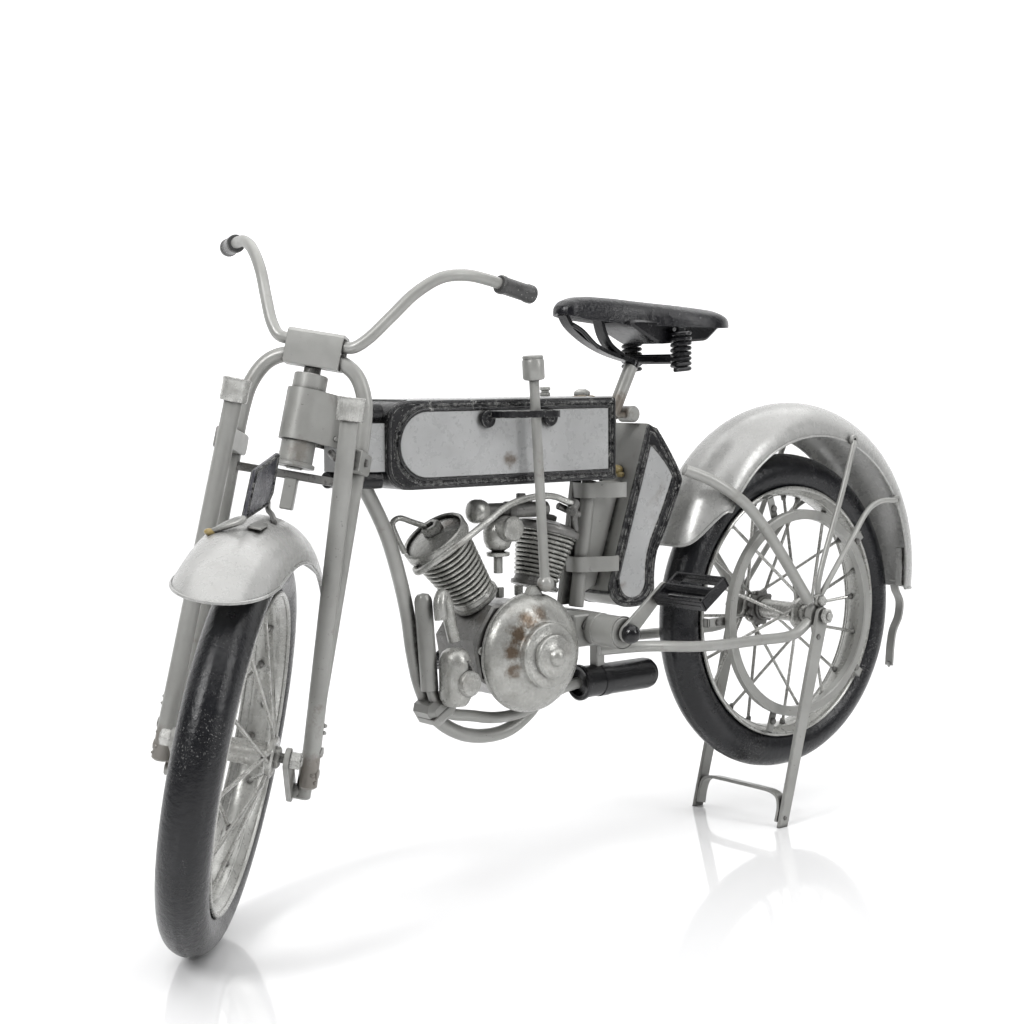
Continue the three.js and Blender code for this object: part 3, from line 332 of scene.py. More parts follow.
class Part:
    """Gathers shapes in one mesh and then makes it a piece of the model."""

    def __init__(self, place=BIKE):
        self.bm = bmesh.new()
        self.place = place

    def faces(self, points, faces, material=0, place=None):
        whole = self.place @ place if place is not None else self.place
        verts = [self.bm.verts.new(whole @ Vector(p)) for p in points]
        for corners in faces:
            face = self.bm.faces.new([verts[c] for c in corners])
            face.material_index = material
        return self

    def grid(self, rows, material=0, place=None, wrap_rows=False, wrap=True, caps=True):
        """Joins rings of points one after another."""
        count = len(rows[0])
        points = [p for row in rows for p in row]
        faces = []
        last = len(rows) if wrap_rows else len(rows) - 1
        for i in range(last):
            for j in range(count if wrap else count - 1):
                a, b = i * count, ((i + 1) % len(rows)) * count
                k = (j + 1) % count
                faces.append((a + j, a + k, b + k, b + j))
        if caps and not wrap_rows:
            faces.append(tuple(range(count))[::-1])
            faces.append(tuple((len(rows) - 1) * count + j for j in range(count)))
        return self.faces(points, faces, material, place)

    def tube(self, points, radius, material=0, sides=14, steps=7, place=None, section=None, closed=False,
            up=None):
        """A round bar along a curve, or one with the given section."""
        path = [Vector(p) for p in points] if closed or len(points) < 3 else curve_points(points, steps)
        normal = Vector(up) if up else None
        rows = []
        for i, here in enumerate(path):
            if closed:
                ahead, behind = path[(i + 1) % len(path)], path[i - 1]
            else:
                ahead, behind = path[min(i + 1, len(path) - 1)], path[max(i - 1, 0)]
            along = (ahead - behind).normalized()
            if normal is None:
                normal = along.orthogonal()
            normal = (normal - along * normal.dot(along)).normalized()
            other = along.cross(normal)
            if section:
                rows.append([here + normal * u + other * v for u, v in section])
            else:
                angles = [2 * math.pi * k / sides for k in range(sides)]
                rows.append([here + radius * (normal * math.cos(a) + other * math.sin(a)) for a in angles])
        return self.grid(rows, material, place, wrap_rows=closed)

    def lathe(self, profile, material=0, place=None, segments=40, closed=False):
        """Turns (radius, height) pairs about the place's Z axis."""
        rows = []
        for radius, height in profile:
            angles = [2 * math.pi * k / segments for k in range(segments)]
            r = max(radius, 1e-4)
            rows.append([(r * math.cos(a), r * math.sin(a), height) for a in angles])
        return self.grid(rows, material, place, wrap_rows=closed)

    def rod(self, start, end, radius, material=0, sides=20, tip=None, soft=0.25):
        length = (Vector(end) - Vector(start)).length
        tip = radius if tip is None else tip
        soft = min(soft, radius * 0.5, length * 0.3)
        profile = [(radius - soft, 0), (radius, soft), (tip, length - soft), (tip - soft, length)]
        return self.lathe(profile, material, aim(start, end), sides)

    def ball(self, centre, radius, material=0, squash=1.0, segments=24):
        turns = [math.pi * (k / 12 - 0.5) for k in range(13)]
        profile = [(radius * math.cos(t), radius * squash * math.sin(t)) for t in turns]
        return self.lathe(profile, material, Matrix.Translation(centre), segments)

    def prism(self, outline, low, high, material=0, place=None, taper=0.0):
        """An outline in the X-Z plane between two Y values, its near edge drawn in by taper."""
        soft = inset(outline, taper) if taper else outline
        rows = [[(x, low, z) for x, z in soft]] if taper else []
        rows.append([(x, low + taper, z) for x, z in outline])
        rows.append([(x, high - taper, z) for x, z in outline])
        if taper:
            rows.append([(x, high, z) for x, z in soft])
        return self.grid(rows, material, place)

    def box(self, low, high, material=0, place=None, soft=0.3):
        (x0, y0, z0), (x1, y1, z1) = low, high
        outline = [(x0 + soft, z0), (x1 - soft, z0), (x1, z0 + soft), (x1, z1 - soft)]
        outline += [(x1 - soft, z1), (x0 + soft, z1), (x0, z1 - soft), (x0, z0 + soft)]
        return self.prism(outline, y0, y1, material, place, soft)

    def done(self, name, body, materials, slot, replaces=(), sharp=38):
        mesh = bpy.data.meshes.new(name)
        bmesh.ops.remove_doubles(self.bm, verts=self.bm.verts, dist=2e-7)
        bmesh.ops.recalc_face_normals(self.bm, faces=self.bm.faces)
        self.bm.to_mesh(mesh)
        self.bm.free()
        for material in materials:
            mesh.materials.append(material)
        mesh.polygons.foreach_set("use_smooth", [True] * len(mesh.polygons))
        mesh.set_sharp_from_angle(angle=math.radians(sharp))
        made = bpy.data.objects.new(name, mesh)
        bpy.context.scene.collection.objects.link(made)
        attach(made, body)
        if replaces:
            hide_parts(*replaces)
        return made


def inset(outline, distance):
    """A closed outline moved inwards by a distance."""
    count = len(outline)
    area = sum(outline[i - 1][0] * outline[i][1] - outline[i][0] * outline[i - 1][1] for i in range(count))
    turn = 1 if area > 0 else -1
    out = []
    for i in range(count):
        before, here, after = (Vector(outline[k % count]) for k in (i - 1, i, i + 1))
        d1, d2 = (here - before).normalized(), (after - here).normalized()
        n1, n2 = Vector((-d1.y, d1.x)) * turn, Vector((-d2.y, d2.x)) * turn
        bisector = n1 + n2
        bisector = bisector / max(bisector.length_squared, 0.35) * 2
        out.append(tuple(here + bisector * distance))
    return out


def rounded(corners, steps=6):
    """An outline whose corners, given as (x, z, radius), are rounded."""
    out = []
    count = len(corners)
    for i, (x, z, radius) in enumerate(corners):
        here = Vector((x, z))
        before = Vector(corners[i - 1][:2]) - here
        after = Vector(corners[(i + 1) % count][:2]) - here
        if radius <= 0:
            out.append((x, z))
            continue
        half = before.angle(after) / 2
        reach = min(radius / math.tan(half), before.length * 0.49, after.length * 0.49)
        a, b = here + before.normalized() * reach, here + after.normalized() * reach
        for k in range(steps + 1):
            t = k / steps
            out.append(tuple(a * (1 - t) ** 2 + here * 2 * t * (1 - t) + b * t * t))
    return out


def arc(centre, radius, start, end, steps=24):
    """Points of an arc in the X-Z plane, in degrees from +X towards +Z."""
    angles = [math.radians(start + (end - start) * k / steps) for k in range(steps + 1)]
    return [(centre[0] + radius * math.cos(a), centre[1] + radius * math.sin(a)) for a in angles]


def flip(points):
    return [(x, -y, z) for x, y, z in reversed(points)]


def bolt(part, place_at, towards, radius=1.6, height=1.2, material=0):
    """A six-sided head with a rounded top."""
    place = aim(place_at, towards)
    part.lathe([(radius, 0), (radius, height * 0.8), (radius * 0.8, height)], material, place, 6)


# ---- wheels ----
TYRE_RING, TYRE_RADIUS, SEAM_DEPTH = 51.7, 7.12, 0.4
TYRE_STEPS = 44


def tyre(name, place, body, node):
    """A round tyre with a narrow seam beside the middle of its tread."""
    part = Part(place @ ALONG_Y)
    profile = []
    for k in range(TYRE_STEPS):
        angle = 2 * math.pi * k / TYRE_STEPS
        radius = TYRE_RADIUS - (SEAM_DEPTH if k == 1 else 0)
        profile.append((TYRE_RING + radius * math.cos(angle), radius * math.sin(angle)))
    part.lathe(profile, 0, None, 144, closed=True)
    part.done(name, body, [TYRE], "tyre", [node], 60)


def rim(name, place, body, node):
    """A thin channel with rolled edges."""
    part = Part(place @ ALONG_Y)
    outside = [(46.9, -6.1), (46.2, -5.2), (44.9, -3.6), (44.2, -1.8), (44.1, 0)]
    outside += [(r, -y) for r, y in reversed(outside[:-1])]
    inside = [(r - 1.0, y) for r, y in reversed(outside)]
    part.lathe(outside + inside, 0, None, 120, closed=True)
    eighths = [k * math.pi / 4 for k in range(8)]
    for radius, y, thick in ((46.1, 5.9, 0.75), (44.0, 3.3, 0.4)):
        for side in SIDES:
            bead = [(radius + thick * math.cos(a), side * y + thick * math.sin(a)) for a in eighths]
            part.lathe(bead, 0, None, 120, closed=True)
    part.done(name, body, [RIM], "steel", [node])


SPOKES = 10


HUB_HALF = 12.9


def hub(name, place, body, node):
    """A flanged hub with crossed spokes and their nipples."""
    half = HUB_HALF
    part = Part(place)
    profile = [(0, -half), (5.6, -half), (6.2, -half + 0.6), (6.2, -half + 1.8), (3.7, -half + 2.8), (3.5, 0)]
    profile += [(r, -y) for r, y in reversed(profile[:-1])]
    part.lathe(profile, 0, ALONG_Y, 36)
    for side in SIDES:
        part.lathe([(3.2, 0), (3.2, 1.1), (2.6, 1.6), (0, 1.6)], 0,
            rot(-90 * side, "X") @ move(0, 0, half - 0.1), 24)
        for i in range(SPOKES):
            angle = (i + (0.5 if side > 0 else 0)) / SPOKES * 2 * math.pi
            lean = math.radians(38) * (1 if i % 2 else -1)
            start = (5.2 * math.cos(angle), side * (half - 1), 5.2 * math.sin(angle))
            out = angle + lean
            end = (43.2 * math.cos(out), side * 1.2, 43.2 * math.sin(out))
            part.rod(start, end, 0.62, 0, 8, soft=0.05)
            part.ball(Vector(start), 1.05, 0, segments=10)
            nipple = Vector(end) * 0.955
            part.rod(nipple, end, 0.8, 1, 8, 1.15)
    part.done(name, body, [WIRE, DARK_ENGINE], "wire", [node])


tyre("rear_tyre_skin", REAR, "rear_wheel", "rear_tyre")
tyre("front_tyre_skin", FRONT, "front_wheel", "front_tyre")
rim("rear_rim_channel", REAR, "rear_wheel", "rear_rim")
rim("front_rim_channel", FRONT, "front_wheel", "front_rim")
hub("rear_spoked_hub", REAR, "rear_wheel", "rear_hub")
hub("front_spoked_hub", FRONT, "front_wheel", "front_hub")

# belt ring, its arms, and the small toothed wheel on the rear hub
ring = Part(REAR)
profile = [(34.9, 9.9), (35.4, 9.5), (38.0, 9.5), (38.5, 9.9), (38.5, 12.2), (38.0, 12.6), (35.4, 12.6),
    (34.9, 12.2)]
ring.lathe(profile, 0, ALONG_Y, 100, closed=True)
for i in range(5):
    turn = rot(i * 72, "Y")
    ring.box((37.6, 8.4, -1.6), (46.2, 9.4, 1.6), 0, turn)
    ring.box((45.2, 6.3, -1.6), (46.2, 9.4, 1.6), 0, turn)
    ring.rod(turn @ Vector((41.4, 9.2, 0)), turn @ Vector((41.4, 10.4, 0)), 1.3, 1, 6)
ring.done("belt_ring_band", "rear_wheel", [ENAMEL, DARK_ENGINE], "enamel", ["belt_ring"])

cog = Part(REAR @ ALONG_Y @ move(0, 0, -9.4))
TEETH = 12
teeth = []
for i in range(TEETH):
    for radius, offset in ((5.5, 0.0), (6.7, 0.3), (6.7, 0.6), (5.5, 0.9)):
        angle = (i + offset) / TEETH * 2 * math.pi
        teeth.append((radius * math.cos(angle), radius * math.sin(angle)))
cog.grid([[(x, y, 0) for x, y in teeth], [(x, y, 1.5) for x, y in teeth]])
cog.lathe([(4.4, -1.5), (4.4, 2.4), (4.0, 2.8)], 0, None, 24)
cog.done("hub_sprocket", "rear_wheel", [DARK_ENGINE], "wire")


# ---- fenders ----
def cut_angle(radius, p, q, near):
    """Angle at which a circle crosses the line through p and q, the crossing nearest to a given angle."""
    p, q = Vector(p), Vector(q)
    along = (q - p).normalized()
    foot = p - along * p.dot(along)
    reach = math.sqrt(max(radius ** 2 - foot.length_squared, 0))
    angles = []
    for side in SIDES:
        point = foot + along * reach * side
        angles.append(math.atan2(point.y, point.x) % (2 * math.pi))
    return min(angles, key=lambda a: abs(a - near))


ACROSS, AROUND = 24, 56


def fender_rows(crown, edge, half, first, last, corner):
    """Lines of points round a fender, from one side to the other, each cut off by two straight lines."""
    rows = []
    for i in range(ACROSS + 1):
        turn = math.pi * (i / ACROSS - 0.5)
        radius = edge + (crown - edge) * math.cos(turn)
        start = cut_angle(radius, *first) + corner * abs(math.sin(turn)) ** 5
        end = cut_angle(radius, *last)
        row = []
        for j in range(AROUND + 1):
            angle = start + (end - start) * j / AROUND
            row.append((radius * math.cos(angle), half * math.sin(turn), radius * math.sin(angle)))
        rows.append(row)
    return rows


SHEET = 0.8


def fender(place, sizes, first, last, corner=0.0):
    """A rounded sheet with a rolled lip, between two cuts."""
    part = Part(place)
    crown, edge, half = sizes
    outer = fender_rows(crown, edge, half, first, last, corner)
    inner = fender_rows(crown - SHEET, edge, half - SHEET, first, last, corner)
    part.grid([*outer, *reversed(inner)], 0, None, wrap_rows=True, wrap=False)
    lips = [[row[k] for row in outer] for k in (0, -1)] + [outer[0], outer[-1]]
    for lip in lips:
        part.tube(lip, 0.5, 0, 8, 1)
    count = len(outer[0])
    for k in (0, count - 1):
        strip = [[a[k], b[k]] for a, b in zip(outer, inner)]
        part.grid(strip, 0, None, wrap=False, caps=False)
    return part


rear_guard = fender(
    BIKE @ move(-4.4, 0, 89.3), (64.2, 52, 15.2),
    ((0, 0), (90, 21), 0.25), ((-40, -8), (-90, -11), 3.3), 0.3,
)
for side in SIDES:
    rear_guard.box((-50.4, -1.5, -12), (-48.6, 1.5, 3), 0, move(-3, 11.5 * side, 4), 0.2)
rear_guard.done("rear_fender_shell", "frame", [FENDER], "enamel", ["rear_fender"])
front_guard = fender(
    STEER @ move(18.45, 0, 56.9), (67.6, 56, 13.7),
    ((38, 45), (62, 38), 0.7), ((-44, 72), (-20, 30), 2.1),
)
front_guard.done("front_fender_shell", "steering", [FENDER], "enamel", ["front_fender"])

# ---- number plate with a raised border, on two bent feet ----
plate = Part(STEER)
outline = rounded([(49, 120.6, 0.6), (47.6, 134.8, 0.8), (25.4, 142.4, 0.8), (24.4, 130.6, 0.6),
    (27.8, 126.6, 0.6)])
plate.prism(outline, 0.1, 1.1, 0, None, 0.15)
rim_line = [(x, 1.1, z) for x, z in inset(outline, 0.7)]
plate.tube(rim_line, 0.45, 1, 8, closed=True)
plate.tube([(x, 0.1, z) for x, z in inset(outline, 0.7)], 0.45, 1, 8, closed=True)
plate.done("number_plate_board", "steering", [PLATE_GREY, EDGE_BLACK], "dark_enamel", ["number_plate"])

foot = Part(STEER)
foot.tube([(47.6, 0.6, 122.2), (48.9, 0.2, 120.4), (49.1, -1.6, 119.2), (48.6, -5, 117.6),
    (47.4, -8, 116.2)], 0.85, 0, 10)
foot.tube([(26, 0.6, 128), (27.4, 1.4, 125.8), (30, 3.4, 124.4), (34, 5.6, 122.2)], 0.8, 0, 10)
foot.box((38.6, 1.4, 120.9), (46.4, 5.4, 121.6), 0, rot(14, "Y") @ move(-29.6, 0, 5.6), 0.2)
foot.ball((47.2, -8.2, 115.9), 1.9, 1, 0.6, 14)
foot.done("plate_feet", "steering", [ENAMEL, GLUE], "enamel")

# ---- steering: stem, folded clamp, fork ----
LOOP = [(-5, 20, 45), (-3, 19.8, 80), (-1, 19.2, 130), (0.6, 18.8, 156), (1, 17.6, 164), (1.2, 14.4, 170.4),
        (1.4, 10.5, 173.4), (1.4, 6, 174.4)]
fork = Part(STEER)
fork.tube(LOOP + flip(LOOP), 2.35, 0, 20, 8)
for side in SIDES:
    fork.ball((-5, side * 20, 45.2), 2.4, 0, 0.5)
fork.done("fork_loop", "steering", [ENAMEL], "enamel", ["fork_tube"])

stem = Part(STEER)
stem.rod((0, 0, 140.5), (0, 0, 171.5), 2.6)
stem.done("stem_rod", "steering", [ENAMEL], "enamel", ["steering_stem"])
clamp = Part(STEER)
fold = [(-2.2, 171.6), (-4.5, 173.6), (-4.5, 181.6), (-3.9, 182.3), (3.4, 182.3), (4.7, 181.2),
    (4.7, 172.4), (4, 171.4)]
inner_fold = inset(fold, 0.9)
rows = []
for y, shape in ((-8.6, fold), (8.6, fold), (8.6, inner_fold), (-8.6, inner_fold)):
    rows.append([(x, y, z) for x, z in shape])
clamp.grid(rows, 0, None, wrap_rows=True)
clamp.box((-3.6, -7.6, 175.9), (3.8, 7.6, 177.2), 1, None, 0.1)
clamp.rod((-4.2, 0, 177), (-5.1, 0, 177), 1.1, 1, 12)
clamp.done("clamp_sheet", "steering", [ENAMEL, DARK_ENGINE], "enamel")

BAR = [(0.8, 0, 0), (0.8, 8.8, 0), (1.2, 12.4, 0.6), (0.4, 15.8, 4), (-1.8, 20.6, 12), (-4.4, 25.6, 20.6),
       (-8, 31.4, 27.2), (-13.4, 37, 30.2), (-20, 42, 31.2), (-26.6, 46.6, 31.4)]
bar = Part(BARS)
bar.tube(flip(BAR[1:]) + BAR, 1.83, 0, 20, 8)
bar.done("handlebar_tube", "steering", [ENAMEL], "enamel", ["handlebar"])
for side, word in ((1, "left"), (-1, "right")):
    start, end = Vector((-23.8, 44.7 * side, 31.2)), Vector((-35.2, 52.6 * side, 31.6))
    length = (end - start).length
    grip = Part(BARS)
    shape = [(2.0, 0), (2.8, 0.1), (2.98, 0.5), (2.98, 1.6), (2.75, 1.9), (2.75, 11.2), (2.98, 11.6),
        (2.98, length - 0.5)]
    shape += [(2.7, length), (0, length)]
    grip.lathe(shape, 0, aim(start, end), 32)
    grip.lathe([(2.5, length - 0.02), (2.5, length + 0.1), (0, length + 0.1)], 1, aim(start, end), 32)
    grip.done(f"grip_sleeve_{word}", "steering", [GRIP, BLACK], "black", [f"grip_{word}"])

    bottom, top = Vector((3, 22.6 * side, 48.5)), Vector((17.6, 17.2 * side, 162.5))
    length = (top - bottom).length
    leg = Part(STEER)
    leg.lathe([(2.0, 0), (2.7, 0.6), (2.7, length - 5)], 0, aim(bottom, top), 32)
    shape = [(2.6, length - 7), (3.85, length - 6.9), (4.1, length - 6.5), (4.05, length - 3.4),
        (4.15, length - 1.0)]
    shape += [(4.3, length - 0.7), (4.25, length - 0.2), (3.8, length), (3.5, length - 0.5),
        (0, length - 0.5)]
    leg.lathe(shape, 1, aim(bottom, top), 32)
    for height in (4.5, 11):
        bolt(leg, bottom + Vector((0.7, 1.6 * side, height)), bottom + Vector((1.6, 21 * side, height)),
            1.7, 1.0)
    for k in range(9):
        blob = (4.6 + math.sin(k * 2.3), (23.8 + 0.8 * math.cos(k * 1.7)) * side, 50.5 + 2.1 * k)
        leg.ball(blob, 0.75 + 0.25 * math.sin(k), 0, 0.7, 10)
    leg.done(f"spring_leg_tube_{word}", "steering", [ENAMEL, STEEL], "enamel", [f"spring_leg_{word}"])

    link = Part(WHEEL_END)
    outline = arc((18.45, 56.9), 3.3, -65, 115) + arc((-4, 46), 3.3, 115, 295)
    low, high = sorted((15.7 * side, 17.3 * side))
    link.prism(outline, low, high, 0, None, 0.2)
    link.rod((18.45, 17.2 * side, 56.9), (18.45, 20.4 * side, 56.9), 2.7, 1, 6)
    link.rod((-3.4, 15.4 * side, 46.3), (-3.4, 21.6 * side, 46.3), 2.3, 0, 16)
    link.done(f"rocker_plate_{word}", "steering", [ENAMEL, STEEL], "enamel", [f"rocker_{word}"])

bridge = Part(STEER)
bridge.box((-1.1, -17.5, 137.3), (0.7, 17.5, 139.8), 1, None, 0.2)
bridge.box((-1.1, -2, 128.1), (1.3, 2, 137.6), 0, None, 0.3)
for side in SIDES:
    outline = rounded([(-3.8, 0, 2), (13, 0, 1), (13, 6.4, 1), (-3.8, 6.4, 2)])
    low, high = (16.2, 22.2) if side > 0 else (-22.2, -16.2)
    bridge.prism([(x, z + 142) for x, z in outline], low, high, 0, None, 0.3)
    bolt(bridge, (6, side * 22.1, 145.2), (6, side * 30, 145.2), 1.3, 1.0, 1)
bridge.done("fork_bridge_bar", "steering", [ENAMEL, DARK_ENGINE], "enamel", ["fork_bridge"])

spindle = Part(WHEEL_END)
spindle.rod((18.45, -20.8, 56.9), (18.45, 20.8, 56.9), 1.45)
spindle.done("front_spindle", "steering", [STEEL], "steel", ["front_axle"])

# ---- head of the frame ----
head = Part(RAKED)
shape = [(3.1, 141), (5.8, 141), (6.05, 141.3), (6.05, 142.2), (5.2, 142.6), (5.15, 169), (4.9, 169.3),
    (3.1, 169.3)]
head.lathe(shape, 0, None, 40, closed=True)
head.done("head_tube_turned", "frame", [ENAMEL], "enamel", ["head_tube"])
lug = Part(RAKED)
band = []
for radius in (6.3, 5.5):
    points = [(-13, -radius), *[(p[0], p[1]) for p in arc((0, 0), radius, -90, 90)], (-13, radius)]
    band.append(points if radius > 6 else points[::-1])
outline = [*band[0], *band[1]]
lug.grid([[(x, y, 149) for x, y in outline], [(x, y, 164.5) for x, y in outline]])
for z in (151.6, 162):
    lug.rod((-8.6, 6.2, z), (-8.6, 6.9, z), 0.8, 0, 12)
lug.rod((-9.6, 3.4, 147.6), (-9.6, 7.4, 145.8), 1.2, 1, 12)
lug.done("head_lug_sheet", "frame", [ENAMEL, DARK_ENGINE], "enamel", ["head_lug"])

# ---- main frame ----
DOWN = [(190.5, 0, 136.5), (185.8, 0, 128.6), (179, 0, 116), (174.4, 0, 103), (170.8, 0, 89), (168.7, 0, 76),
        (165.6, 0, 64.5), (160, 0, 54.6), (151, 0, 48.6), (141, 0, 46.2), (131, 0, 46.8), (123, 0, 50.6),
        (114.6, 0, 58.4), (108.6, 0, 67), (106, 0, 72.4)]
down = Part()
down.tube(DOWN, 2.35, 0, 20, 8)
wedge = [(185.1, -9.2), (197.8, -5.2), (197.8, 5.2), (185.1, 9.2)]
down.grid([[(x, y, 135) for x, y in wedge], [(x, y, 149.8) for x, y in wedge]], 1)
for x, z in ((188, 137.4), (188, 147.4), (194, 142)):
    down.rod((x, 7.6, z), (x, 8.6 - (x - 186) * 0.3, z), 0.7, 0, 10)
down.done("down_tube_bar", "frame", [ENAMEL, PANEL], "enamel", ["front_frame"])
rails = Part()
for z in (132.4, 153.4):
    for side in SIDES:
        rails.rod((185.2, 7.2 * side, z), (197.6, 4.4 * side, z), 2.6, 0, 24)
rails.done("tank_rails", "frame", [EDGE_BLACK], "dark_enamel")

BEND_STEPS = 8


def bend(start, control, end):
    """Points of a quadratic curve after its start."""
    out = []
    for k in range(1, BEND_STEPS + 1):
        t = k / BEND_STEPS
        triples = zip(start, control, end)
        out.append(tuple((1 - t) ** 2 * a + 2 * t * (1 - t) * b + t * t * c for a, b, c in triples))
    return out


CASE = [(92, 92.4), (73.5, 147.4), (69.5, 145.5)]
CASE += bend((69.5, 145.5), (58, 131), (57.6, 127)) + bend((57.6, 127), (63, 114), (69.5, 103.4))
CASE += bend((69.5, 103.4), (71.5, 98), (71, 90)) + bend((71, 90), (73, 84.6),
    (80, 84.6)) + bend((80, 84.6), (91.4, 84.2), (92, 92.4))
CASE.pop()
WINDOW = [(87.6, 95), (72.9, 139.6), (71.6, 139.4)]
WINDOW += bend((71.6, 139.4), (63.6, 132.6), (62.2, 128.6)) + bend((62.2, 128.6), (66.6, 118), (72.6, 107.4))
WINDOW += bend((72.6, 107.4), (75.6, 101), (75.2, 92.6)) + bend((75.2, 92.6), (76.4, 87.6), (81.6, 87.4))
WINDOW += bend((81.6, 87.4), (87.4, 88), (87.6, 95))
WINDOW.pop()
case = Part()
case.prism(CASE, -10, 7, 0, None, 0.3)
case.tube([(91.6, -9.8, 89.6), (91.6, 0, 89.8), (91.6, 7, 90)], 0.6, 4, 8)
case.tube([(92.2, -9.8, 92.6), (73.8, -9.8, 147.3), (69.6, -9.8, 145.4)], 0.4, 4, 8, 1)
for side, face in ((1, 7.0), (-1, 10.0)):
    low, high = sorted(((face - 0.1) * side, (face + 0.3) * side))
    case.prism(CASE, low, high, 1, None, 0.1)
    low, high = sorted(((face + 0.2) * side, (face + 0.6) * side))
    case.prism(WINDOW, low, high, 2, None, 0.1)
    for distance, thick in ((0.3, 0.55), (2.0, 0.35)):
        case.tube([(x, (face + 0.25) * side, z) for x, z in inset(CASE, distance)], thick, 4, 8, closed=True)
    case.tube([(x, (face + 0.4) * side, z) for x, z in inset(WINDOW, -0.2)], 0.55, 4, 8, closed=True)
case.ball((80.4, -1.7, 131.4), 2.5, 3, 0.7, 14)
case.ball((80.4, 0.5, 129.8), 1.5, 3, 0.7, 12)
case.done("tool_case_body", "frame", [ENAMEL, EDGE_BLACK, PANEL, GLUE, RIDGE], "enamel", ["tool_case"])

seat = Part()
seat.rod((100.4, 0, 85.4), (94.2, 0, 128.3), 2.55, 0, 24)
seat.prism([(104.8, 86), (98.6, 128.4), (94.8, 128.4), (96.4, 86)], -5.2, -3.2, 0, None, 0.2)
seat.prism([(98.6, 90), (94, 127.8), (80.6, 127.6), (92.6, 92.4)], -1.2, 1.2, 0, None, 0.2)
for low, dx in ((122.4, 0.2), (97.4, 3.8)):
    strap = [(97.6 + dx, -4.6), (98.4 + dx, -2.6), (98.6 + dx, 1.6), (97.4 + dx, 3.3), (95 + dx, 4.2),
        (91.2 + dx, 6.2), (86.6 + dx, 7.9), (84.4 + dx, 8.0)]
    path = [(x, y, low + 2.7) for x, y in strap]
    seat.tube(path, 0, 0, section=[(-2.6, -0.35), (2.6, -0.35), (2.6, 0.35), (-2.6, 0.35)], up=(0, 0, 1),
        steps=4)
for z in (118, 99.6):
    seat.rod((98, -3.4, z), (98, -2.6, z), 0.8, 2, 10)
seat.done("seat_tube_bar", "frame", [ENAMEL, PANEL, DARK_ENGINE], "enamel", ["seat_tube"])

CRANK = Vector((102.3, 0, 79.4))
bracket = Part()
bracket.rod((102.3, -26.3, 79.4), (102.3, 26.3, 79.4), 5.3, 0, 36, soft=0.5)
for y in (14.6, 25):
    bracket.lathe([(5.3, 0), (5.55, 0.2), (5.55, 0.9), (5.3, 1.1)], 0, move(102.3, y, 79.4) @ ALONG_Y, 36,
        True)
bracket.box((98.7, -7.8, 73.6), (111.3, 11.8, 84.5), 0, None, 0.6)
bolt(bracket, (106.6, 11.7, 80.6), (106.6, 20, 80.6), 1.7, 1.0, 1)
bracket.done("bottom_bracket_shell", "frame", [ENAMEL, DARK_ENGINE], "enamel", ["bottom_bracket"])

for side, word in ((1, "left"), (-1, "right")):
    low_bar = Part()
    low_bar.tube([(97.4, 8.5 * side, 71.2), (82, 14.4 * side, 71.6), (59, 17.6 * side, 69.6),
        (30, 18.3 * side, 69),
                  (11, 18.3 * side, 69.4), (3, 18.3 * side, 73.5)], 1.92, 0, 18, 8)
    low_bar.rod((0, 17.1 * side, 75.6), (0, 20.1 * side, 75.6), 4.3, 0, 28)
    low_bar.done(f"chain_stay_bar_{word}", "frame", [ENAMEL], "enamel", [f"chain_stay_{word}"])
    high_bar = Part()
    high_bar.tube([(58.8, 10 * side, 131), (50, 14 * side, 127.2), (43, 17 * side, 122.7),
        (36.2, 18.2 * side, 117.9),
                   (24, 18.3 * side, 106), (3.6, 18.3 * side, 81.2)], 2.05, 0, 18, 8)
    high_bar.done(f"seat_stay_bar_{word}", "frame", [ENAMEL], "enamel", [f"seat_stay_{word}"])
    wires = Part()
    wires.tube([(-22.8, 17.2 * side, 139), (-15, 18.4 * side, 121), (-1, 19.2 * side, 88),
        (-0.4, 19.4 * side, 81)], 1.05, 0, 12)
    wires.tube([(-0.4, 19.4 * side, 81), (-20, 19 * side, 103), (-30, 17.8 * side, 112.5),
        (-38, 17 * side, 115.5),
                (-48, 16.8 * side, 115.5)], 1.05, 0, 12)
    for x, z in ((-22.8, 139.4), (-48, 115.5)):
        wires.lathe([(0.7, -0.7), (1.7, -0.7), (1.9, 0), (1.7, 0.7), (0.7, 0.7)], 0,
            move(x, 16.8 * side, z) @ ALONG_Y, 18, True)
    wires.done(f"fender_stay_wire_{word}", "frame", [ENAMEL], "steel", [f"fender_stay_{word}"])

axle = Part()
axle.rod((0, -25.9, 75.6), (0, 25.9, 75.6), 1.45)
for side in SIDES:
    axle.rod((0, 23.2 * side, 75.6), (0, 25.2 * side, 75.6), 2.9, 0, 6, soft=0.5)
    axle.rod((-0.4, 18.6 * side, 80.9), (-0.4, 22.6 * side, 80.9), 1.9, 0, 6, soft=0.4)
    axle.lathe([(1.1, -0.8), (2.4, -0.8), (2.6, 0), (2.4, 0.8), (1.1, 0.8)], 0,
        move(-0.4, 20.2 * side, 80.9) @ ALONG_Y, 20, True)
axle.done("rear_axle_pin", "frame", [STEEL], "steel", ["rear_axle"])

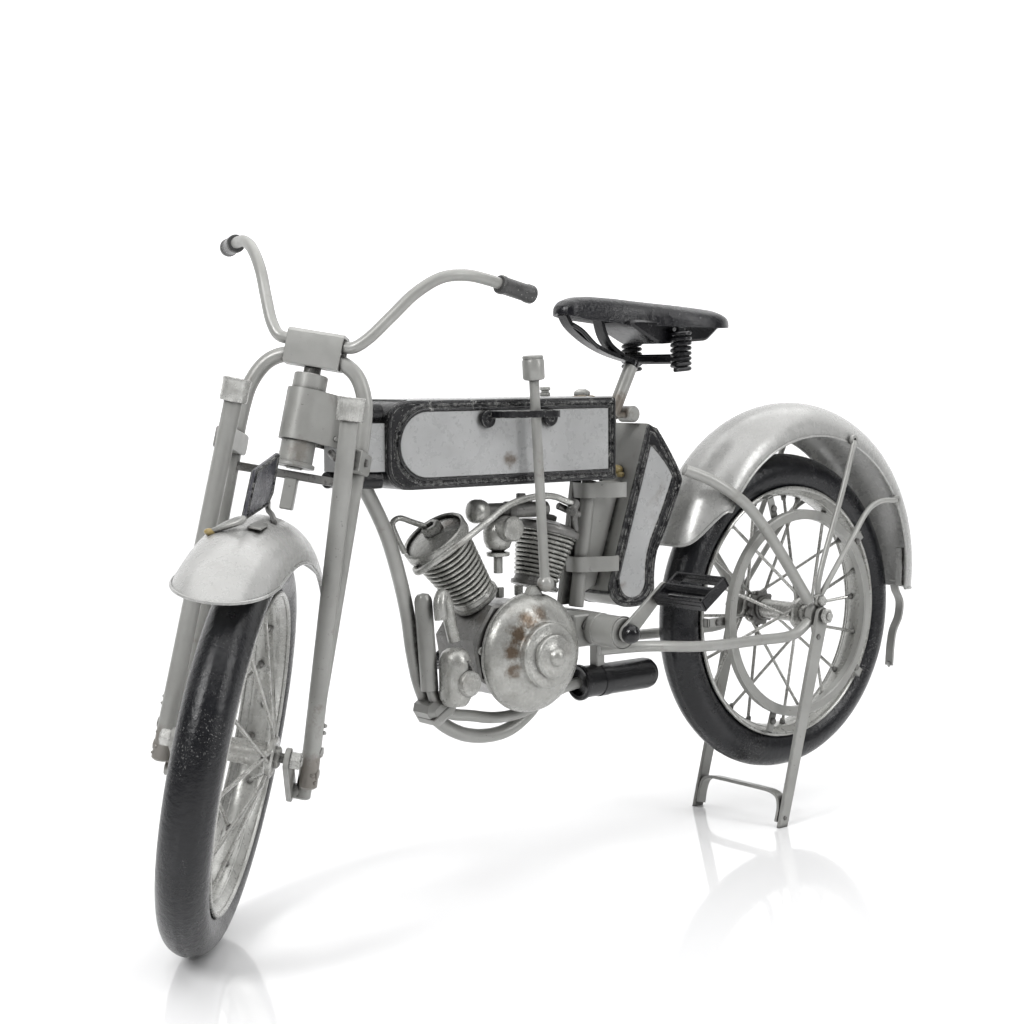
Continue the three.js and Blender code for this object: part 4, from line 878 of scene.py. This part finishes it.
# ---- tank: light panels in a dark worn border ----
TANK = rounded([(91.4, 129, 1.2), (185, 129, 9), (185, 156.7, 9), (91.4, 156.7, 1.2)], 8)
FACE = [(95, 132.6), *arc((170, 142.9), 10.3, -90, 90, 20), (95, 153.2)]
tank = Part()
tank.prism(TANK, -9.9, 9.9, 0, None, 0.6)
tank.box((92.4, -9.2, 156.3), (178.4, 9.2, 156.95), 2, None, 0.1)
for side in SIDES:
    low, high = sorted((9.8 * side, 10.4 * side))
    tank.prism(inset(TANK, 0.9), low, high, 1, None, 0.1)
    low, high = sorted((10.3 * side, 10.75 * side))
    tank.prism(FACE, low, high, 2, None, 0.15)
    tank.tube([(x, 10.1 * side, z) for x, z in inset(TANK, 0.7)], 0.7, 3, 10, closed=True)
    tank.tube([(x, 10.5 * side, z) for x, z in inset(FACE, -0.6)], 0.55, 3, 10, closed=True)
    tank.tube([(x, 10.35 * side, z) for x, z in inset(FACE, -2.0)], 0.35, 3, 8, closed=True)
    tank.rod((92.6, 9.7 * side, 156.3), (177.4, 9.7 * side, 156.3), 0.75, 2, 12)
for x, y, size in ((101, 8.8, 1.4), (104, 7.6, 1.9), (107.6, 8.4, 1.2)):
    tank.ball((x, y, 156.9), size, 4, 0.35, 12)
tank.done("tank_shell", "frame", [EDGE_BLACK, EDGE_BLACK, PANEL, RIDGE, BRASS], "enamel", ["tank"])

caps = Part()
caps.lathe([(1.2, 0), (1.75, 0.2), (1.75, 1.2), (1.3, 1.5), (1.3, 1.9), (1.8, 2.2), (1.8, 3.0), (1.4, 3.2),
    (0, 3.2)], 0,
           move(113.7, 0, 157.1), 24)
caps.done("filler_cap_screw", "frame", [STEEL], "engine_metal", ["filler_cap"])
caps = Part()
caps.lathe([(2.6, 0), (2.8, 0.3), (2.8, 1.3), (2.3, 1.8), (1.2, 2.4), (0, 2.4)], 0, move(97.4, 0, 157.1), 24)
caps.done("oil_cap_button", "frame", [STEEL], "engine_metal", ["oil_cap"])

guide = Part()
strap = [(120.8, 11.9, 151.8), (122.4, 12.1, 151.8), (123, 14, 151.8), (123.1, 18, 151.8),
    (124.6, 19.1, 151.8),
         (134, 19.1, 151.8), (144.2, 19.1, 151.8), (145.8, 18, 151.8), (145.9, 14, 151.8),
         (146.4, 12.1, 151.8),
         (148.2, 11.9, 151.8)]
guide.tube(strap, 0, 0, section=[(-1.1, -0.5), (1.1, -0.5), (1.1, 0.5), (-1.1, 0.5)], up=(0, 0, 1))
for x in (121.6, 147.4):
    guide.lathe([(1.2, -0.7), (2.7, -0.6), (2.9, 0), (2.7, 0.6), (1.2, 0.7)], 0,
        move(x, 12.1, 150.4) @ ALONG_Y, 20, True)
    guide.rod((x, 11.2, 150.4), (x, 13.2, 150.4), 1.3, 0, 6)
guide.done("lever_guide_strap", "frame", [EDGE_BLACK], "dark_enamel", ["lever_guide"])

# ---- saddle ----
def along_line(x, knots):
    """Height at x on a line of straight pieces."""
    for (x0, z0), (x1, z1) in zip(knots, knots[1:]):
        if x <= x1:
            return z0 + (z1 - z0) * (x - x0) / (x1 - x0)
    return knots[-1][1]


def half_width(x):
    """Half width of the saddle along its length."""
    t = (x - 34) / 74.4
    tail = math.sqrt(max(1 - ((0.2 - t) / 0.2) ** 2, 0)) if t < 0.2 else 1
    nose = math.sqrt(max(1 - ((t - 0.94) / 0.06) ** 2, 0)) if t > 0.94 else 1
    waist = 5.2 + 11 / (1 + math.exp((t - 0.47) * 11))
    return max(waist * tail * nose, 0.05)


def top_line(x):
    """Height of the saddle's crown along its length."""
    return along_line(x, [(34, 181.8), (35, 183.4), (38, 185.2), (46, 187), (58, 188.1), (70, 189),
        (84, 190.1), (96, 190.6), (102, 190.2),
                          (105.6, 188.9), (107.6, 187.2), (108.6, 185)])


def bottom_line(x):
    """Height of the saddle's lower edge along its length."""
    return along_line(x, [(34, 180.6), (46, 180.2), (66, 180.6), (84, 181.4), (100, 182.8), (108.6, 184.4)])


saddle = Part()
rows = []
STATIONS = 46
for i in range(STATIONS + 1):
    x = 34.02 + 74.36 * (0.5 - 0.5 * math.cos(math.pi * i / STATIONS))
    width, top = half_width(x), top_line(x)
    depth = top - bottom_line(x)
    row = []
    for k in range(16):
        a = math.pi * k / 15
        y = width * math.copysign(abs(math.cos(a)) ** 0.62, math.cos(a))
        row.append((x, y, top - depth * (1 - abs(math.sin(a)) ** 0.6)))
    for k in range(1, 6):
        row.append((x, -0.94 * width * (1 - k / 3), top - depth * (0.7 if 1 < k < 5 else 0.9)))
    rows.append(row)
saddle.grid(rows)
cushion = saddle.done("saddle_top", "frame", [LEATHER], "black", ["saddle"], 50)

under = Part()
pan = rounded([(39, 182, 1), (47, 176, 6), (70, 174.6, 8), (88, 183, 2)])
under.prism(pan, -9.6, 9.6, 0, None, 0.8)
flat_bar = [(-2.2, -0.7), (2.2, -0.7), (2.2, 0.7), (-2.2, 0.7)]
under.tube([(105.8, 0, 184.4), (103.4, 0, 181), (97, 0, 176.4), (89, 0, 172.6), (81, 0, 170.2),
    (74.4, 0, 168.8)], 0, 0, section=flat_bar, up=(0, 1, 0))
under.tube([(90, 0, 183), (88.6, 0, 178.6), (86, 0, 174.6), (80, 0, 170.6)], 0, 0, section=flat_bar,
    up=(0, 1, 0))
under.tube([(104.4, 3.4, 181), (100.4, 3.6, 179), (95.6, 3.2, 175.4), (92, 2, 173.6)], 0.8, 0, 10)
under.box((60.6, -15, 167.8), (65.4, 15, 171.2), 0, None, 0.6)
under.box((62, -2, 168.3), (76, 2, 170.4), 0, None, 0.4)
under.rod((84, 0, 149.8), (74.4, 0, 168), 2.35, 1, 20)
under.rod((74.9, 0, 166.8), (73.7, 0, 169.2), 2.5, 0, 16)
under.rod((76.2, -3.4, 150.6), (76.2, 3.4, 150.6), 2.85, 1, 28, soft=0.6)
under.box((76.2, -2, 149.4), (84.6, 2, 151.2), 1, None, 0.3)
under.box((83.4, -2.2, 146.4), (91.6, 2.2, 151.2), 1, None, 0.4)
under.done("saddle_frame_bars", "frame", [BLACK, ENAMEL], "black", ["saddle_frame"])
COIL_TURNS, COIL_LOW, COIL_HIGH = 8, 165.6, 179.6
for side, word in ((1, "left"), (-1, "right")):
    coil = Part()
    path = []
    for k in range(COIL_TURNS * 14 + 1):
        a = 2 * math.pi * k / 14
        z = COIL_LOW + (COIL_HIGH - COIL_LOW) * k / (COIL_TURNS * 14)
        path.append((63 + 3.1 * math.cos(a), 12.5 * side + 3.1 * math.sin(a), z))
    coil.tube(path, 0.72, 0, 8, 1)
    coil.rod((63, 12.5 * side, 165.4), (63, 12.5 * side, 180.4), 1.5, 0, 12)
    coil.done(f"saddle_coil_{word}", "frame", [BLACK], "black", [f"saddle_spring_{word}"])


# ---- engine ----
def finned(part, foot, head, fins=12):
    """A finned barrel and its domed head along the line from foot to head."""
    place = aim(foot, head)
    length = (Vector(head) - Vector(foot)).length
    part.lathe([(7.9, 0.1), (8.1, 0.4), (8.1, 1.4), (7.4, 1.7), (7.1, 3.2)], 1, place, 36)
    profile = [(6.8, 2.6)]
    for i in range(fins):
        t = i / (fins - 1)
        h = 3.2 + t * (length - 7.2)
        r = 7.7 + 2.7 * t
        profile += [(r - 0.95, h - 0.1), (r - 0.3, h + 0.1), (r, h + 0.45), (r, h + 0.85),
            (r - 0.3, h + 1.2), (r - 0.95, h + 1.4)]
    part.lathe(profile, 0, place, 48)
    top = [(9.4, length - 3.4), (10.9, length - 3.3), (11.15, length - 2.9), (11.15, length - 1.5),
        (10.9, length - 1.1)]
    top += [(10.1, length - 1.0), (10.0, length - 0.5), (7.6, length + 0.4), (4, length + 1.1),
        (0, length + 1.3)]
    part.lathe(top, 1, place, 48)
    return place, length


front = Part()
place, length = finned(front, (143.2, 0, 91.4), (160.1, 0, 113))
front.lathe([(10.2, length - 1.4), (11.15, length - 1.3), (11.2, length + 0.5), (10.7, length + 0.9),
    (10.1, length + 0.5)], 1, place, 48, True)
front.lathe([(3.4, length), (3.4, length + 3.6), (2.9, length + 4), (1.7, length + 4), (1.6, length + 2.2),
    (0, length + 2.2)], 1,
            place @ move(-0.4, 1.2, 0), 6)
front.tube([(162.4, -2, 116.4), (167, -2.4, 118), (172, -2.6, 119.4), (174.2, -2.8, 118),
    (172.6, -2.8, 113.4), (170, -2.4, 108.4)], 0.95, 2, 10)
front.done("front_cylinder_barrel", "frame", [FINS, ENGINE, ENGINE], "engine_metal", ["front_cylinder"])
rear = Part()
place, length = finned(rear, (119, 0, 93.4), (112.8, 0, 114.4), 11)
rear.rod(place @ Vector((0, 0, length)), place @ Vector((0, 0, length + 3.2)), 2.6, 1, 6)
rear.rod((107.4, 7.6, 121.6), (111.4, 10.4, 119), 1.9, 1, 14)
rear.rod((114, 6.6, 121), (105.6, 7.8, 117.4), 1.2, 1, 12)
rear.rod((107.4, 7.6, 112), (108.4, 7.9, 120.6), 1.3, 1, 12)
rear.done("rear_cylinder_barrel", "frame", [FINS, DARK_ENGINE], "engine_metal", ["rear_cylinder"])

block = Part()
outline = arc((131.4, 74.4), 16.3, 95, 265) + [(139.4, 60.2), (150.7, 67.2), (153.2, 80), (145.2, 90.6)]
block.prism(outline, -9.8, 11.5, 0, None, 0.8)
block.rod((150.4, 11, 76.6), (150.4, 12.4, 76.6), 1.4, 1, 12)
block.rod((146, 11, 65.4), (146, 12.4, 65.4), 1.4, 1, 12)
for x, z in ((136, 91.8), (128, 91.9)):
    block.rod((x, 3, z), (x, 3, z + 3.4), 1.5, 1, 8)
block.lathe([(16, 0), (16, 2), (12, 4), (5, 5), (0, 5)], 0, move(131.4, -9.6, 74.4) @ rot(90, "X"), 48)
block.done("crankcase_casting", "frame", [DARK_ENGINE, ENGINE], "engine_metal", ["crankcase"])

cover = Part()
shape = [(0, 0), (19.2, 0), (19.6, 0.4), (19.6, 1.0), (19.2, 1.4), (19.4, 1.8), (19.2, 2.6), (18.2, 4.2),
    (16.8, 5.5), (15.2, 6.6),
         (13.6, 7.4), (11.6, 8.2), (10.9, 8.6), (10.6, 9.2), (10.6, 11.2), (10.2, 11.7), (7.4, 11.9),
         (7.0, 12.1), (7.0, 13.6),
         (6.6, 14.1), (3.6, 14.5), (3.1, 14.8), (2.8, 15.8), (2.0, 16.8), (1.0, 17.25), (0, 17.35)]
cover.lathe(shape, 0, move(131.4, 11.9, 74.4) @ ALONG_Y, 90)
bolt(cover, (130.4, 12.4, 93.4), (130.4, 30, 93.4), 3.1, 2.6)
cover.done("belt_cover_turned", "frame", [ENGINE], "engine_metal", ["belt_cover"])

carb = Part()
carb.lathe([(1.5, -13), (1.5, -7.6), (3.6, -7.4), (3.8, -7), (3.8, -6.2), (2, -5.8), (3.8, -4.6),
    (4.7, -2.4), (4.9, 0.6),
            (4.3, 2.6), (3.2, 4), (0, 4)], 0, move(137.3, 4, 113), 32)
carb.lathe([(4.1, 0), (4.1, 6.4), (3.6, 7), (1.6, 7.1), (0, 6.7)], 0, move(136.6, 5, 114.8) @ ALONG_Y, 36)
carb.rod((117, 4, 120), (143, 4, 120.4), 2.6, 1, 20)
carb.lathe([(2.6, 0), (3, 0.4), (3, 3), (2.6, 3.4)], 1, aim((131, 4, 120.2), (143, 4, 120.4)), 24)
carb.lathe([(2.4, 0), (3.4, 0.4), (3.9, 1.6), (3.9, 4.4), (3.4, 5.4), (2.2, 6), (0, 6.2)], 0,
    aim((142.6, 4, 120.4), (152, 4, 120.8)), 16)
carb.rod((127.6, 4, 122), (127.6, 4, 125.6), 1.6, 1, 12)
carb.rod((124, 4, 121.6), (124, 4, 124.8), 1.0, 1, 12)
carb.done("carburettor_body", "frame", [ENGINE, DARK_ENGINE], "engine_metal", ["carburettor"])

mag = Part()
mag.lathe([(0, 60.2), (3.4, 60.2), (4.2, 61), (5.1, 62.8), (5.15, 73.6), (4.9, 75.4), (4.1, 77.2),
    (2.6, 78.3), (0, 78.7)], 0,
          move(160.4, 11, 0), 36)
mag.lathe([(4.2, 0), (4.2, 4.6), (3.7, 5.3), (1.8, 5.45), (0, 5.1)], 0, move(158.6, 12, 67.6) @ ALONG_Y, 36)
mag.tube([(159, 15.6, 74.6), (157.8, 16.3, 72.6), (157.4, 16.2, 70)], 0.45, 1, 8)
mag.done("magneto_drum", "frame", [ENGINE, DARK_ENGINE], "engine_metal", ["magneto"])

oil = Part()
oil.tube([(167.6, 0.2, 103.2), (169, 3.6, 102.6), (168.3, 10.8, 106), (161, 14.2, 111.6),
    (149, 13.2, 117.8), (139, 11.8, 122.6),
          (127.4, 10.2, 124.6), (117, 8.6, 124.2), (110.4, 9.6, 121.6)], 1.1, 0, 12)
oil.done("oil_line_wire", "frame", [ENGINE], "wire", ["oil_line"])

# ---- exhaust ----
pipe = Part()
PIPE = [(166, 5.4, 66.5), (163.5, 5.4, 60), (158.5, 5.4, 56.6), (150, 5.4, 54.8), (140, 5.2, 52.9),
    (129, 5, 53.2),
        (119, 5, 56.4), (110, 4, 59), (102, 3, 59.8)]
pipe.lathe([(0, 0), (2.85, 0), (2.85, 28.4), (2.6, 29.6), (1.9, 30.7), (0, 31.2)], 0,
    aim((166.3, 5.4, 65), (168.7, 5.4, 96.2)), 28)
pipe.tube(PIPE, 1.88, 0, 18)
pipe.done("exhaust_bend", "frame", [ENAMEL], "enamel", ["exhaust_pipe"])
drum = Part()
shape = [(0, 2.4), (4.2, 2.4), (4.6, 0.2), (5.6, 0), (6.15, 0.4), (6.15, 1.4), (5.6, 2), (5.45, 4.2),
    (5.45, 31), (5.1, 32.8), (4.2, 34), (0, 34.3)]
drum.lathe(shape, 0, aim((102.6, 3, 59.8), (60, 3, 59.8)), 40)
drum.lathe([(5.5, 9), (5.7, 9.1), (5.7, 12.4), (5.5, 12.5)], 0, aim((102.6, 3, 59.8), (60, 3, 59.8)), 40,
    True)
drum.box((91.7, 1, 64.6), (95.3, 5, 73.4), 1, None, 0.3)
drum.done("muffler_drum", "frame", [BLACK, ENAMEL], "black", ["muffler"])
wrap = Part(BIKE @ move(162.6, 2.9, 58.6) @ rot(32, "Y"))
wrap.box((-5.3, -5.6, -4.1), (5.3, 5.6, 4.1), 0, None, 1.7)
wrap.box((-8.6, 4.6, -0.6), (-3, 5.6, 3.6), 0, rot(-14, "Y"), 0.3)
wrap.box((-5.4, -3, -0.4), (5.4, 5.7, 0.1), 1, None, 0.1)
wrap.done("frame_clamp_sheet", "frame", [ENAMEL, DARK_ENGINE], "enamel", ["frame_clamp"])
breather = Part()
breather.tube([(166, 11.4, 88), (166.2, 11, 93), (164.6, 10, 95.6), (162.4, 9, 93.6), (160.6, 8.6, 87),
    (158.8, 8.6, 80.4)], 2.05, 0, 18)
breather.done("breather_bend", "frame", [ENGINE], "engine_metal", ["breather_pipe"])

# ---- stand, its clip and the hand lever ----
stand = Part()
for side in SIDES:
    low, high = sorted((20.85 * side, 22.5 * side))
    outline = [(18.4, 0.05), (23.0, 0.05), *arc((0, 75.6), 3.1, 16, 196)]
    stand.prism(outline, low, high, 0, None, 0.3)
    stand.rod((20, 20.9 * side, 3.4), (20, 23.0 * side, 3.4), 0.8, 1, 12)
    stand.rod((2.6, 22.2 * side, 68), (2.6, 23.0 * side, 68), 1.0, 1, 12)
across = [(20.6, 20, 1.6), (19.4, 20, 7), (18.9, 18.8, 10.4), (18.8, 16, 11.8), (18.8, 8, 12.2),
    (18.8, 0, 12.2)]
across += [(x, -y, z) for x, y, z in reversed(across[:-1])]
stand.tube(across, 0, 0, section=[(-1.9, -0.55), (1.9, -0.55), (1.9, 0.55), (-1.9, 0.55)], up=(1, 0, 0),
    steps=6)
stand.done("stand_legs", "stand", [ENAMEL, DARK_ENGINE], "enamel", ["stand"])

clip = Part()
clip.tube([(-67.6, 0, 82), (-68.4, 0, 78), (-71.2, 0, 73), (-70.6, 0, 67), (-67.4, 0, 61.6), (-66, 0, 56),
    (-65.2, 0, 47.6)], 0, 0,
          section=[(-1.7, -0.5), (1.7, -0.5), (1.7, 0.5), (-1.7, 0.5)], up=(0, 1, 0))
clip.rod((-65.2, 0, 49), (-65.1, 0, 46.8), 1.2, 0, 8, 0.5)
clip.done("stand_clip_strip", "frame", [ENAMEL], "enamel", ["stand_clip"])

lever = Part()
lever.rod((126.95, 15.6, 94.4), (131.3, 15.6, 162.6), 1.62, 0, 20)
lever.ball((126.9, 15.6, 96.8), 2.8, 0, 1.0)
place = aim((131.3, 15.6, 162.4), (131.8, 15.6, 170.6))
lever.lathe([(1.6, 0), (3.1, 0.3), (3.55, 0.9), (3.55, 6.4), (3.2, 7.0), (3.4, 7.2), (3.4, 7.8), (3, 8.1),
    (0, 8.15)], 0, place, 32)
lever.done("hand_lever_rod", "hand_lever", [ENAMEL], "enamel", ["hand_lever"])

# ---- crank and pedals ----
cranks = Part(BIKE @ Matrix.Translation(CRANK))
cranks.rod((0, -27.6, 0), (0, 27.6, 0), 2.15, 0, 20)
for side in SIDES:
    arm = Vector((-16.6 * side, 27.6 * side, 13.8 * side))
    centre = Vector((0, 27.6 * side, 0))
    angle = math.degrees(math.atan2(-arm.z, arm.x))
    outline = arc((0, 0), 3.0, 90, 270, 12) + arc((21.6, 0), 2.0, -90, 90, 12)
    low, high = sorted((26.9 * side, 28.3 * side))
    cranks.prism(outline, low, high, 0, rot(angle, "Y"), 0.3)
    cranks.rod((arm.x, 27.2 * side, arm.z), (arm.x, 50.2 * side, arm.z), 0.88, 0, 10)
    cranks.ball((0, 29.6 * side, 0), 3.2, 1, 1.0)
cranks.done("crank_arms", "crankset", [ENAMEL, BLACK], "enamel", ["crankset"])

for side, word in ((1, "left"), (-1, "right")):
    pivot = CRANK + Vector((-16.6 * side, 0, 13.8 * side))
    pedal = Part(BIKE @ Matrix.Translation(pivot) @ rot(35, "Y"))
    inner, outer = 29.3 * side, 51.9 * side
    for edge in SIDES:
        low, high = sorted((inner, outer))
        pedal.box((edge * 6.2 - 0.55, low, -1.9), (edge * 6.2 + 0.55, high, 1.9), 0, None, 0.2)
        pedal.box((edge * 6.2 - 0.75, low + 1, -0.5), (edge * 6.2 + 0.75, high - 1, 0.5), 0, None, 0.2)
    for y in (inner, outer - side):
        low, high = sorted((y, y + side))
        pedal.box((-6.4, low, -1.9), (6.4, high, 1.9), 0, None, 0.2)
    pedal.lathe([(1.25, inner + 0.9 * side), (2.1, inner + 0.9 * side), (2.1, outer - 0.9 * side),
        (1.25, outer - 0.9 * side)],
                0, ALONG_Y, 20, True)
    pedal.done(f"pedal_cage_{word}", f"pedal_{word}", [BLACK], "black", [f"pedal_{word}"])

# ---- floor, backdrop and light ----
def sheet_of(name, corners, shader_values):
    mesh = bpy.data.meshes.new(name)
    mesh.from_pydata(corners, [], [(0, 1, 2, 3)])
    made = bpy.data.objects.new(name, mesh)
    bpy.context.scene.collection.objects.link(made)
    material = bpy.data.materials.new(name)
    material.use_nodes = True
    shader = material.node_tree.nodes["Principled BSDF"]
    for key, value in shader_values.items():
        shader.inputs[key].default_value = value
    mesh.materials.append(material)
    made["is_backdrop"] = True


FLOOR_HALF = 8
floor_corners = [(FLOOR_HALF * a, FLOOR_HALF * b, 0) for a, b in ((-1, -1), (1, -1), (1, 1), (-1, 1))]
sheet_of("floor", floor_corners, {"Base Color": rgba(0.9, 0.9, 0.905), "Roughness": 0.06, "IOR": 1.5})
far = -back * 4.5
WALL_FOOT, WALL_TOP = -0.01, 8
wall = []
for end, height in ((-1, WALL_FOOT), (1, WALL_FOOT), (1, WALL_TOP), (-1, WALL_TOP)):
    corner = far + right * 12 * end
    wall.append((corner.x, corner.y, height))
white = rgba(1, 1, 1)
sheet_of("backdrop", wall, {"Base Color": white, "Emission Color": white, "Emission Strength": 0.82,
    "Roughness": 0.9})

world = bpy.data.worlds.new("studio")
bpy.context.scene.world = world
world.use_nodes = True
world.node_tree.nodes["Background"].inputs["Color"].default_value = white
world.node_tree.nodes["Background"].inputs["Strength"].default_value = 0.2


def area_light(name, at, size, power, towards=(0, 0, 0.1)):
    lamp = bpy.data.lights.new(name, "AREA")
    lamp.shape = "RECTANGLE"
    lamp.size, lamp.size_y = size
    lamp.energy = power
    made = bpy.data.objects.new(name, lamp)
    bpy.context.scene.collection.objects.link(made)
    made.location = at
    made.rotation_mode = "QUATERNION"
    made.rotation_quaternion = (Vector(towards) - Vector(at)).to_track_quat("-Z", "Y")


area_light("overhead", (-0.3, 0.1, 2.0), (3.0, 3.0), 46)
area_light("key", (1.3, 0.3, 1.1), (0.35, 0.6), 14)
area_light("fill", (-0.7, 1.5, 0.9), (0.3, 0.9), 9)
bpy.context.scene.view_settings.view_transform = "Standard"

low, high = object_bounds()
